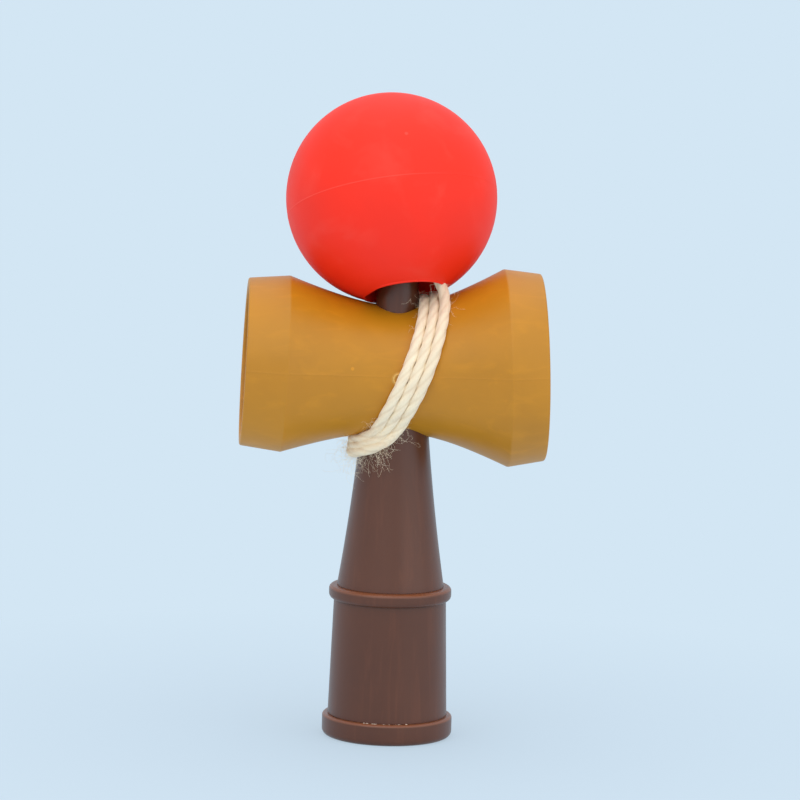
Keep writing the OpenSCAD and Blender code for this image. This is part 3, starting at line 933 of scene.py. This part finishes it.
def flank_radius(sizes, x):
    """The crosspiece's outer radius along its axis: a hyperbola from the waist to each corner."""
    small = x < 0
    corner_x = sizes.small_len - sizes.small_band if small else sizes.big_len - sizes.big_band
    rise = (sizes.small_corner_r if small else sizes.big_corner_r) - sizes.waist_r
    return sizes.waist_r + rise * eased(sizes, x) / eased(sizes, corner_x)


def slope_up(sizes, mesh):
    """Bends the crosspiece: both sides slope up from the waist."""
    x, y, z = vertex_places(mesh)
    run = np.hypot(x, sizes.bend_ease)
    steep = math.tan(sizes.bend)
    high = z - sizes.axis_z
    move_vertices(mesh, x - high * steep * x / run, y, z + steep * (run - sizes.bend_ease))


def cup_line(sizes, rim_r, rim_x, steps=28):
    """Outline points of a cup's hollow from its bottom to its mouth: a quarter ellipse."""
    mouth_r = rim_r - sizes.rim_wall
    depth = math.copysign(sizes.cup_depth, rim_x)
    return [(mouth_r * math.sin(a), rim_x - depth * math.cos(a)) for a in quarter_turn(steps)]


def crosspiece_outline(sizes, steps=56):
    """The crosspiece's outline of (radius, place) points, and the parting ridge's height at each."""
    small_x = sizes.small_band - sizes.small_len
    big_x = sizes.big_len - sizes.big_band
    flank = [small_x + (big_x - small_x) * i / steps for i in range(steps + 1)]
    small_cup = cup_line(sizes, sizes.small_rim_r, -sizes.small_len)
    big_cup = cup_line(sizes, sizes.big_rim_r, sizes.big_len)
    outline = (small_cup + [(sizes.small_rim_r, -sizes.small_len)]
               + [(flank_radius(sizes, x), x) for x in flank]
               + [(sizes.big_rim_r, sizes.big_len)] + big_cup[::-1])
    first = len(small_cup)
    last = first + len(flank) + 1
    radii = {first - 1: sizes.rim_round, first: sizes.rim_round, first + 1: sizes.corner_round,
             last - 1: sizes.corner_round, last: sizes.rim_round, last + 1: sizes.rim_round}
    outline = soften(outline, radii)
    waist = sizes.waist_r * 0.98
    outside = [flank_radius(sizes, min(big_x, max(small_x, x))) - radius for radius, x in outline]
    ridges = [sizes.seam_ridge if radius > waist and gap < sizes.rim_wall * 0.8 else 0.0
              for (radius, x), gap in zip(outline, outside)]
    return outline, ridges


def gate_point(sizes):
    """The place of the gate mark on the front of the crosspiece."""
    reach = flank_radius(sizes, sizes.gate_x)
    front_y = -math.sqrt(reach ** 2 - sizes.gate_drop ** 2)
    return Vector((sizes.gate_x, front_y, sizes.axis_z - sizes.gate_drop))


class TOY_OT_crosspiece(bpy.types.Operator):
    """Turns the double cup and cuts its seat, its bore and the string's hole"""

    bl_idname = "toy.crosspiece"
    bl_label = "Crosspiece"

    # How far the segments crowd at the parting ridge, the gate mark's bead and room for cutting.
    CROWDING = 0.8
    GATE_BEAD_R = 0.2 * MM
    CUT_ROOM = 1 * MM

    def execute(self, context):
        sizes = context.scene.toy_cross
        handle = context.scene.toy_handle
        winding = Winding(context.scene)
        gate = gate_point(sizes)
        finish = ochre_plastic(tuple(hues(context).ochre), tuple(gate), sizes.gate_r)
        outline, ridges = crosspiece_outline(sizes)
        piece = turned("crosspiece_dressed", outline, finish, ridges=ridges, crowding=self.CROWDING,
                       ridge_width=sizes.seam_width)
        along_x = Matrix(((0, 0, 1, 0), (-1, 0, 0, 0), (0, -1, 0, sizes.axis_z), (0, 0, 0, 1)))
        close_up(piece, along_x)
        bead = arc((sizes.gate_r, 0), self.GATE_BEAD_R, 180, -180)
        mark = turned("gate_mark", bead, finish, segments=32)
        close_up(mark, Matrix.Translation(gate) @ Matrix.Rotation(math.pi / 2, 4, "X"))
        carve(piece, mark, "UNION")
        slope_up(sizes, piece.data)

        cone_z = sizes.axis_z - sizes.waist_r - self.CUT_ROOM
        top_z = sizes.axis_z + sizes.waist_r + self.CUT_ROOM
        bore_r = handle.shank_r + sizes.slide_gap
        bore = ([(0, cone_z)] + neck_line(handle, cone_z, handle.shoulder_z, sizes.slide_gap)
                + [(bore_r, handle.shoulder_z), (bore_r, top_z), (0, top_z)])
        seat = turned("seat", bore, finish, segments=128)
        close_up(seat)
        carve(piece, seat)
        hole = turned("string_hole", winding.hole_outline(handle.shank_r), finish, segments=48)
        close_up(hole, winding.hole_place())
        carve(piece, hole)
        close_up(piece)
        keep(piece, "ochre_plastic", "crosspiece", "crosspiece")
        return {"FINISHED"}


# Ball


def sphere_line(radius, low, high, steps=64):
    """Outline points on a ball's circle between two heights."""
    start = math.degrees(math.asin(low / radius))
    end = math.degrees(math.asin(high / radius))
    return arc((0, 0), radius, start, end, steps)


class TOY_OT_ball(bpy.types.Operator):
    """Turns the ball's two halves, the lower one with its hole and socket"""

    bl_idname = "toy.ball"
    bl_label = "Ball"

    # The burr's spread round the hole in radians, and how far up the hole it reaches.
    BURR_SPREAD = 0.42
    BURR_RISE = 0.5 * MM

    def execute(self, context):
        sizes = context.scene.toy_ball
        string_r = context.scene.toy_string.hole_r
        finish = red_plastic(tuple(hues(context).red), tuple(sizes.center), tuple(sizes.up),
                             sizes.seam_h)
        upright = Vector(sizes.up).normalized()
        place = Matrix.Translation(sizes.center) @ upright.to_track_quat("Z", "Y").to_matrix().to_4x4()
        askew = Matrix.Translation(Vector((-1, -1, 0)).normalized() * sizes.seam_step)
        inner_r = sizes.radius - sizes.wall
        halves = (("ball_lower_half", self.lower(sizes, inner_r, string_r), askew),
                  ("ball_upper_half", self.upper(sizes, inner_r), Matrix()))
        for name, outline, shift in halves:
            piece = turned(name + "_dressed", outline, finish)
            if shift is askew:
                self.raise_burr(sizes, piece.data)
            close_up(piece, shift @ place)
            keep(piece, "red_plastic", "ball", name)
        return {"FINISHED"}

    @staticmethod
    def lower(sizes, inner_r, string_r):
        """Outline of the half with the hole, once round its wall."""
        mouth_h = -math.sqrt(sizes.radius ** 2 - sizes.hole_r ** 2)
        inner = sizes.hole_r - sizes.rim_reach
        rim_r = inner + sizes.hole_rim
        rim_h = -math.sqrt(sizes.radius ** 2 - rim_r ** 2)
        flash = sizes.hole_flash
        end_r = sizes.hole_r - sizes.hole_taper
        roof_h = mouth_h + sizes.hole_depth
        socket_r = sizes.hole_r + sizes.hole_wall
        socket_h = -math.sqrt(inner_r ** 2 - socket_r ** 2)
        lip_r = inner_r + sizes.lip_wall - sizes.glue_gap
        lip_in = inner_r - sizes.lip_wall
        lip_low = sizes.seam_h - sizes.lip_h
        lip_top = sizes.seam_h + sizes.lip_h
        edge = sizes.seam_flash
        shell = sphere_line(sizes.radius, sizes.seam_h - 3 * edge, rim_h)
        rim = soften([shell[-1], (rim_r - 0.6 * flash, rim_h - flash), (inner, mouth_h - flash),
                      (inner + 0.2 * flash, mouth_h + flash), (sizes.hole_r, mouth_h + 4 * flash)],
                     {1: 0.4 * flash, 2: 0.4 * flash})
        seam = [(lip_r, sizes.seam_h), (shell[0][0] + edge * 0.6, sizes.seam_h),
                (shell[0][0] + edge, sizes.seam_h - edge)]
        outline = (
            seam + shell + rim[1:]
            + [(end_r, roof_h), (string_r, roof_h), (string_r, roof_h + sizes.roof_wall),
               (end_r + sizes.hole_wall, roof_h + sizes.roof_wall)]
            + sphere_line(inner_r, socket_h, lip_low, 32)
            + [(lip_in, lip_low), (lip_in, lip_top), (lip_r, lip_top)])
        return outline + outline[:1]

    def raise_burr(self, sizes, mesh):
        """Draws the rim of the hole inwards on one side, as a burr left by the mould."""
        x, y, z = vertex_places(mesh)
        out = np.hypot(x, y)
        away = np.angle(np.exp(1j * (np.arctan2(y, x) - sizes.burr_turn)))
        mouth_h = -math.sqrt(sizes.radius ** 2 - sizes.hole_r ** 2)
        inner = sizes.hole_r + sizes.hole_rim - out
        at_rim = (z < mouth_h + self.BURR_RISE) * np.clip(inner / sizes.hole_rim, 0, 1)
        fade = np.exp(-(away / self.BURR_SPREAD) ** 2)
        pull = 1 - sizes.burr * at_rim * fade / np.maximum(out, sizes.hole_rim)
        move_vertices(mesh, x * pull, y * pull, z)

    @staticmethod
    def upper(sizes, inner_r):
        """Outline of the plain half, from its outer pole to its inner one."""
        rebate_r = inner_r + sizes.lip_wall
        rebate_h = sizes.seam_h + sizes.lip_h + sizes.glue_gap
        outer = sphere_line(sizes.radius, sizes.seam_h, sizes.radius)
        return (outer[::-1] + [(rebate_r, sizes.seam_h), (rebate_r, rebate_h)]
                + sphere_line(inner_r, rebate_h, inner_r, 32))


# String


def smooth_step(value):
    """A rise from 0 to 1 with level ends."""
    share = min(1, max(0, value))
    return share * share * (3 - 2 * share)


class Winding:
    """The rule of the string's turns: 0 degrees is under the crosspiece, 90 in front, 180 on top."""

    # Angles of the turn that lies unshifted, of the string's hole and of the winding's end.
    FIRST = 90
    START = -74
    END = 877

    # How far points crowd under the crosspiece, how late a turn sweeps sideways, the cosine from which
    # turns lie one under the other, how close they bunch there, and the step for a turn's slant.
    SLOW_UNDER = 14
    SWEEP_POWER = 1.3
    STACK_FROM = 0.62
    BUNCHING = 0.6
    SLANT_STEP = 2

    # The bend out of the hole and its room in degrees, and the knot's depth and gap in its pocket.
    BEND_R = 1.6 * MM
    BEND_ROOM = 12
    KNOT_DEPTH = 6 * MM
    KNOT_GAP = 0.4 * MM

    # The way past the spike, in millimetres.
    LEAD_MM = ((7.3, -3.8, 75.2), (6.3, -3.4, 77.1), (5.2, -2.4, 79.4), (4.5, -1, 81.9),
               (3.9, 0.4, 84.5), (3.2, 1.6, 87.1), (2, 2.5, 89.4), (0.1, 3.2, 91.1))

    def __init__(self, scene):
        self.handle = scene.toy_handle
        self.cross = scene.toy_cross
        self.ball = scene.toy_ball
        self.sizes = scene.toy_string
        core_r = self.sizes.core_d / 2
        self.pitch = self.sizes.core_d + self.sizes.turn_gap
        self.lay_r = core_r + self.sizes.lay_gap
        beside = self.handle.shank_r + self.sizes.pass_gap + core_r - self.sizes.press
        self.top_x = beside - self.pitch * self.FIRST / 360
        self.steep = math.tan(self.cross.bend)
        self.hole = self.point(self.START)
        self.hole_axis = self.axis_point(self.hole.x)
        self.hole_side = self.side(self.START)
        self.hole_r = (self.hole - self.hole_axis).length

    @staticmethod
    def side(turn):
        """The direction out of the crosspiece at an angle."""
        return Vector((0, -math.sin(math.radians(turn)), -math.cos(math.radians(turn))))

    def axis_point(self, x):
        """A point on the crosspiece's bent axis."""
        return Vector((x, 0, self.cross.axis_z + self.steep * abs(x)))

    def reach(self, x):
        """The distance of a laid core from that axis."""
        leaned = x + math.copysign(self.cross.waist_r * self.steep, x)
        return flank_radius(self.cross, leaned) + self.lay_r

    def surface(self, turn):
        """The middle of the first turn, laid on the crosspiece."""
        share = (1 + math.cos(math.radians(turn))) / 2
        x = self.top_x - self.sizes.sweep * share ** self.SWEEP_POWER
        return self.axis_point(x) + self.reach(x) * self.side(turn)

    def clear_of_neck(self, point):
        """A point moved outwards until it clears the neck."""
        need = neck_radius(self.handle, point.z) + self.sizes.pass_gap + self.lay_r
        have = math.hypot(point.x, point.y)
        if have < need and point.z < self.cross.axis_z:
            return Vector((point.x * need / have, point.y * need / have, point.z))
        return point

    def clear_of_crosspiece(self, point, more):
        """A point moved outwards until it clears the crosspiece and some more."""
        axis = self.axis_point(point.x)
        need = self.reach(point.x) + more
        have = (point - axis).length
        return axis + (point - axis) * max(1, need / have)

    def point(self, turn):
        """A point of the winding: side by side in front and on top, one under the other below."""
        shift = self.pitch * (turn - self.FIRST) / 360
        under = (math.cos(math.radians(turn)) - self.STACK_FROM) / (1 - self.STACK_FROM)
        stack = math.pi / 2 * smooth_step(under)
        slant = self.surface(turn + self.SLANT_STEP) - self.surface(turn - self.SLANT_STEP)
        across = slant.normalized().cross(self.side(turn)).normalized()
        moved = self.surface(turn) + shift * math.cos(stack) * across
        depth = (shift + self.pitch / 4) * math.sin(stack) * self.BUNCHING
        lowered = self.clear_of_crosspiece(moved, depth)
        return self.clear_of_crosspiece(self.clear_of_neck(lowered), depth)

    def along(self, turn):
        """The direction of the winding at an angle."""
        return (self.point(turn + 1) - self.point(turn - 1)).normalized()

    def tail(self, steps=8):
        """The string's first end: straight out of its hole at the back, then bent on to the winding."""
        inner = self.hole_r - self.KNOT_DEPTH - self.sizes.knot_r / 2
        along = self.along(self.START)
        return [self.hole - inner * self.hole_side] + [
            self.hole + self.BEND_R * ((math.sin(a) - 1) * self.hole_side + (1 - math.cos(a)) * along)
            for a in quarter_turn(steps)]

    def lead(self, tip, out):
        """The string's last stretch, up past the spike and into the ball."""
        center = Vector(self.ball.center)
        up = Vector(self.ball.up)
        roof_h = self.ball_roof_h() - self.sizes.core_d
        knot_h = self.ball_knot_h() - self.sizes.knot_r / 2
        return ([tip, tip + self.sizes.core_d * out] + [Vector(point) * MM for point in self.LEAD_MM]
                + [center + roof_h * up, center + knot_h * up])

    def ball_roof_h(self):
        """Height of the end of the ball's hole above the ball's middle."""
        return self.ball.hole_depth - math.sqrt(self.ball.radius ** 2 - self.ball.hole_r ** 2)

    def ball_knot_h(self):
        """Height of the ball's knot above the ball's middle."""
        return self.ball_roof_h() + self.ball.roof_wall + self.sizes.pass_gap + self.sizes.knot_r

    def route(self, step=3):
        """Every point of the string, from the knot in the crosspiece to the knot in the ball."""
        places = [-90 + step * i for i in range((self.END + 90) // step)]
        turns = [place - self.SLOW_UNDER * math.sin(math.radians(place)) for place in places]
        end = self.END - self.SLOW_UNDER * math.sin(math.radians(self.END))
        laid = [self.point(turn) for turn in turns if turn > self.START + self.BEND_ROOM]
        out = self.along(end)
        last = self.point(end)
        return self.tail() + laid + [last] + self.lead(last + self.sizes.core_d * out, out)

    def hole_outline(self, shank_r):
        """Outline of the string's hole: a pocket for the knot, a bore and a flared mouth."""
        pocket_r = self.sizes.knot_r + self.KNOT_GAP
        pocket_end = self.KNOT_DEPTH + pocket_r
        flare_from = self.hole_r - self.lay_r - self.BEND_R
        flare_to = self.hole_r + self.BEND_R
        bore_r = self.sizes.hole_r
        return [(0, shank_r), (pocket_r, shank_r), (pocket_r, pocket_end), (bore_r, pocket_end),
                (bore_r, flare_from), (bore_r + 2 * self.BEND_R, flare_to), (0, flare_to)]

    def hole_place(self):
        """Place of the string's hole: its own +Z points out of the crosspiece at the back."""
        turn = Matrix.Rotation(math.radians(180 - self.START), 4, "X")
        return Matrix.Translation(self.hole_axis) @ turn

    def knots(self):
        """Middles of the knots in the crosspiece and in the ball."""
        first = self.hole_axis + self.KNOT_DEPTH * self.hole_side
        return first, Vector(self.ball.center) + self.ball_knot_h() * Vector(self.ball.up)


def even_points(points, step):
    """Points spaced evenly along a smooth curve through the given ones."""
    given = np.array([tuple(point) for point in points])
    marks = np.concatenate([[0], np.cumsum(np.linalg.norm(np.diff(given, axis=0), axis=1))])
    slopes = np.gradient(given, marks, axis=0)
    fine = np.linspace(0, marks[-1], int(marks[-1] / step * 5))
    i = np.clip(np.searchsorted(marks, fine, side="right") - 1, 0, len(given) - 2)
    span = (marks[i + 1] - marks[i])[:, None]
    t = (fine - marks[i])[:, None] / span
    curve = ((1 + 2 * t) * (1 - t) ** 2 * given[i] + t ** 2 * (3 - 2 * t) * given[i + 1]
             + span * (t * (1 - t) ** 2 * slopes[i] - t ** 2 * (1 - t) * slopes[i + 1]))
    run = np.concatenate([[0], np.cumsum(np.linalg.norm(np.diff(curve, axis=0), axis=1))])
    places = np.linspace(0, run[-1], round(run[-1] / step) + 1)
    return np.column_stack([np.interp(places, run, curve[:, axis]) for axis in range(3)])


def eased_points(points, spread):
    """A row of points with its sharp bends eased; spread is in points, and the ends stay."""
    reach = 3 * spread
    weights = np.exp(-0.5 * (np.arange(-reach, reach + 1) / spread) ** 2)
    padded = np.pad(points, ((reach, reach), (0, 0)), mode="reflect", reflect_type="odd")
    smooth = [np.convolve(padded[:, axis], weights / weights.sum(), "valid") for axis in range(3)]
    return np.column_stack(smooth)


def knot_points(center, radius, thickness, steps=72):
    """A closed-up overhand knot: a trefoil about a point, two steps short of closing."""
    reach = (radius - thickness / 2) / 3
    turns = [2 * math.pi * i / steps for i in range(steps - 2)]
    trefoil = [Vector((math.sin(a) + 2 * math.sin(2 * a), math.cos(a) - 2 * math.cos(2 * a),
                       -1.4 * math.sin(3 * a))) for a in turns]
    return [center + reach * point for point in trefoil]


class TOY_OT_string(bpy.types.Operator):
    """Lays the string round the crosspiece and up into the ball, with its knots and loose fibres"""

    bl_idname = "toy.string"
    bl_label = "String"

    # Spacing of the route's points, how many of them ease a bend, the string's sides, and the height
    # over the waist from which it stretches.
    STEP = 0.2 * MM
    EASE = 8
    SIDES = 24
    STRETCH_RISE = 2.8 * MM

    # The same for a knot, and its strand's thickness as a share of its radius.
    KNOT_STEP = 0.25 * MM
    KNOT_SIDES = 18
    KNOT_SHARE = 0.75

    # The fibres' tone, number on a square metre and seed, and their share anywhere, low and high.
    FIBRE_TONE = 0.95
    FIBRE_DENSITY = 0.48e6
    FIBRE_SEED = 11
    FUZZ, FUZZ_LOW, FUZZ_HIGH = 0.3, 2.4, 1.4

    def execute(self, context):
        sizes = context.scene.toy_string
        winding = Winding(context.scene)
        finish = cotton(tuple(hues(context).cotton), sizes.strand_d)
        route = eased_points(even_points(winding.route(), self.STEP), self.EASE)
        string = line_piece("string", route)
        settle(string, string_tree(), thickness=sizes.strand_d, lay=sizes.lay, sides=self.SIDES,
               material=finish)
        knots = self.tie_knots(winding, finish)
        fuzz = self.raise_fuzz(context, string)
        for piece in (string, fuzz):
            close_up(piece, sharp=ROUND_SHARP)
            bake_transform(piece)
        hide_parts("string_winding", "string_lead")
        return {"FINISHED"}

    def tie_knots(self, winding, finish):
        """The knots at the string's two ends."""
        sizes = winding.sizes
        thick = sizes.knot_r * self.KNOT_SHARE
        ends = {"crosspiece_knot": "crosspiece", "ball_knot": "string_lead"}
        pieces = []
        for (node, body), center in zip(ends.items(), winding.knots()):
            points = even_points(knot_points(center, sizes.knot_r, thick), self.KNOT_STEP)
            knot = line_piece(node + "_tied", points)
            settle(knot, string_tree(), thickness=thick, lay=sizes.lay / 2, sides=self.KNOT_SIDES,
                   material=finish)
            close_up(knot, sharp=ROUND_SHARP)
            keep(knot, "cotton_string", body, node)
            pieces.append(knot)
        return pieces

    def raise_fuzz(self, context, string):
        """Loose fibres: most low in front of the neck, some by the ball's hole, few elsewhere."""
        sizes = context.scene.toy_string
        cross = context.scene.toy_cross
        x, y, z = vertex_places(string.data)
        low = np.clip((cross.axis_z - 0.55 * cross.waist_r - z) / (2.5 * MM), 0, 1) * (y < 4 * MM)
        high = np.clip((z - cross.axis_z - 0.9 * cross.waist_r) / (1.5 * MM), 0, 1) * (x > 3 * MM)
        shown = np.hypot(y, z - cross.axis_z) > 0.8 * cross.waist_r
        outside = z < cross.axis_z + cross.waist_r + 6 * MM
        amount = (self.FUZZ + self.FUZZ_LOW * low + self.FUZZ_HIGH * high) * shown * outside
        stored = string.data.attributes.new("fuzz", "FLOAT", "POINT").data
        stored.foreach_set("value", amount.astype(np.float32))
        fuzz = bpy.data.objects.new("string_fuzz", string.data.copy())
        context.scene.collection.objects.link(fuzz)
        shade = tone(hues(context).cotton, self.FIBRE_TONE)[:3]
        settle(fuzz, fuzz_tree(), density=self.FIBRE_DENSITY, length=sizes.fibre_len,
               radius=sizes.fibre_r, curl=2.6, droop=0.45, seed=self.FIBRE_SEED,
               material=plain_finish("cotton_fibre", shade, 0.85))
        return fuzz


# Stage

# Each lamp's place, width and power, and the point that they aim at.
LAMPS = {
    "key_lamp": ((-0.28, -0.55, 0.6), 0.8, 1.5),
    "fill_lamp": ((0.5, -0.45, 0.35), 0.8, 0.9),
    "top_lamp": ((0.05, 0.1, 0.85), 0.9, 1.5),
}
LAMP_AIM = Vector((0, 0, 60 * MM))

# The world's light where it isn't seen, and the shares of the floor's colour in its shadow, which also
# give the painted cool shade round the toy.
WORLD_LIGHT = (0.9, 0.87, 0.83, 1)
FLOOR_COOL = (0.68, 0.72, 0.8)


def lamp(name, place, width, power):
    """A soft square lamp aimed at the toy."""
    data = bpy.data.lights.new(name, "AREA")
    data.shape = "SQUARE"
    data.size = width
    data.energy = power
    holder = bpy.data.objects.new(name, data)
    bpy.context.scene.collection.objects.link(holder)
    away = Vector(place) - LAMP_AIM
    holder.matrix_world = Matrix.Translation(place) @ away.to_track_quat("Z", "Y").to_matrix().to_4x4()


def seen_directly(nodes):
    """1 for rays from the camera, mirrors and glass, else 0."""
    path = nodes.add("ShaderNodeLightPath")
    seen = nodes.calc("MAXIMUM", path["Is Camera Ray"], path["Is Glossy Ray"])
    return nodes.calc("MAXIMUM", seen, path["Is Transmission Ray"])


def floor_finish(base):
    """A pale floor that keeps the toy's faint real shadow, with a painted cool shade round the toy on
    top of it.
    """
    material, nodes, shader = new_material("pale_floor")
    away = nodes.measure("LENGTH", nodes.object_point())
    seen = seen_directly(nodes)
    cool = tuple(channel * share for channel, share in zip(base, FLOOR_COOL)) + (1,)
    nodes.feed(nodes.mixed(seen, tone(base), cool), shader.inputs["Base Color"])
    shader.inputs["Roughness"].default_value = 0.9
    shader.inputs["Specular IOR Level"].default_value = 0.1
    glow = nodes.get("ShaderNodeEmission", {"Color": tone(base), "Strength": 1.0})
    # Painted shade: near the toy less glow is mixed in, so the cool diffuse colour darkens the floor
    # even where it is lit; the real shadow darkens it further.
    share = nodes.times(seen, nodes.ranged(away, 0.01, 0.12, 0.6, 1.0))
    both = nodes.get("ShaderNodeMixShader", {0: share, 1: shader.outputs[0], 2: glow})
    nodes.feed(both, nodes.tree.nodes["Material Output"].inputs["Surface"])
    return material


class TOY_OT_stage(bpy.types.Operator):
    """Sets up the pale floor, the soft lamps, the world and the camera"""

    bl_idname = "toy.stage"
    bl_label = "Stage"

    def execute(self, context):
        scene = context.scene
        sizes = scene.toy_stage
        base = tuple(hues(context).floor)
        self.lay_floor(scene, sizes.floor_size, floor_finish(base))
        self.light_world(scene, base)
        for name, (place, width, power) in LAMPS.items():
            lamp(name, place, width, power)
        self.set_camera(scene, sizes)
        scene.view_settings.view_transform = "Standard"
        return {"FINISHED"}

    @staticmethod
    def lay_floor(scene, half, finish):
        """One large level sheet under the toy."""
        mesh = bpy.data.meshes.new("floor")
        corners = [(-half, -half, 0), (half, -half, 0), (half, half, 0), (-half, half, 0)]
        mesh.from_pydata(corners, [], [(0, 1, 2, 3)])
        mesh.materials.append(finish)
        floor = bpy.data.objects.new("floor", mesh)
        scene.collection.objects.link(floor)

    @staticmethod
    def light_world(scene, base):
        """A pale world: the floor's colour where it is seen, a softer light elsewhere."""
        scene.world = bpy.data.worlds.new("pale_world")
        scene.world.use_nodes = True
        nodes = Nodes(scene.world.node_tree)
        back = nodes.tree.nodes["Background"]
        shade = nodes.mixed(seen_directly(nodes), WORLD_LIGHT, tone(base))
        nodes.feed(shade, back.inputs["Color"])

    @staticmethod
    def set_camera(scene, sizes):
        """The camera at the toy's viewing angle, with its small tilt."""
        turn, rise = sizes.azimuth, sizes.elevation
        back = Vector((math.sin(turn) * math.cos(rise), -math.cos(turn) * math.cos(rise),
                       math.sin(rise)))
        right = Vector((math.cos(turn), math.sin(turn), 0))
        up = back.cross(right)
        aim = Vector((0, 0, sizes.aim_z)) + sizes.shift_x * right + sizes.shift_z * up
        place = aim + sizes.distance * back
        level = Matrix((right, up, back)).transposed().to_4x4()
        data = bpy.data.cameras.new("camera")
        data.lens = sizes.lens
        data.clip_start = 0.05
        camera = bpy.data.objects.new("camera", data)
        scene.collection.objects.link(camera)
        camera.matrix_world = Matrix.Translation(place) @ level @ Matrix.Rotation(sizes.roll, 4, "Z")
        scene.camera = camera


# Add-on

GROUPS = {"toy_handle": HandleSizes, "toy_cross": CrosspieceSizes, "toy_ball": BallSizes,
          "toy_string": StringSizes, "toy_colours": ToyColours, "toy_stage": StageSizes}
OPERATORS = (TOY_OT_foot_cup, TOY_OT_barrel, TOY_OT_neck_and_spike, TOY_OT_glue_specks,
             TOY_OT_crosspiece, TOY_OT_ball, TOY_OT_string, TOY_OT_stage)


class TOY_PT_panel(bpy.types.Panel):
    """Lists the toy's pieces and their sizes"""

    bl_idname = "TOY_PT_panel"
    bl_label = "Cup and Ball"
    bl_space_type = "VIEW_3D"
    bl_region_type = "UI"
    bl_category = "Cup and Ball"

    def draw(self, context):
        for operator in OPERATORS:
            self.layout.operator(operator.bl_idname)
        for key, group in GROUPS.items():
            box = self.layout.box()
            box.label(text=group.__doc__)
            for name in group.__annotations__:
                box.prop(getattr(context.scene, key), name)


def register():
    for key, group in GROUPS.items():
        bpy.utils.register_class(group)
        setattr(bpy.types.Scene, key, bpy.props.PointerProperty(type=group))
    for cls in OPERATORS + (TOY_PT_panel,):
        bpy.utils.register_class(cls)


def unregister():
    for cls in (TOY_PT_panel,) + OPERATORS[::-1]:
        bpy.utils.unregister_class(cls)
    for key, group in GROUPS.items():
        delattr(bpy.types.Scene, key)
        bpy.utils.unregister_class(group)


def main():
    register()
    bpy.ops.toy.foot_cup()
    bpy.ops.toy.barrel()
    bpy.ops.toy.neck_and_spike()
    bpy.ops.toy.glue_specks()
    bpy.ops.toy.crosspiece()
    bpy.ops.toy.ball()
    bpy.ops.toy.string()
    bpy.ops.toy.stage()


if __name__ == "__main__":
    main()
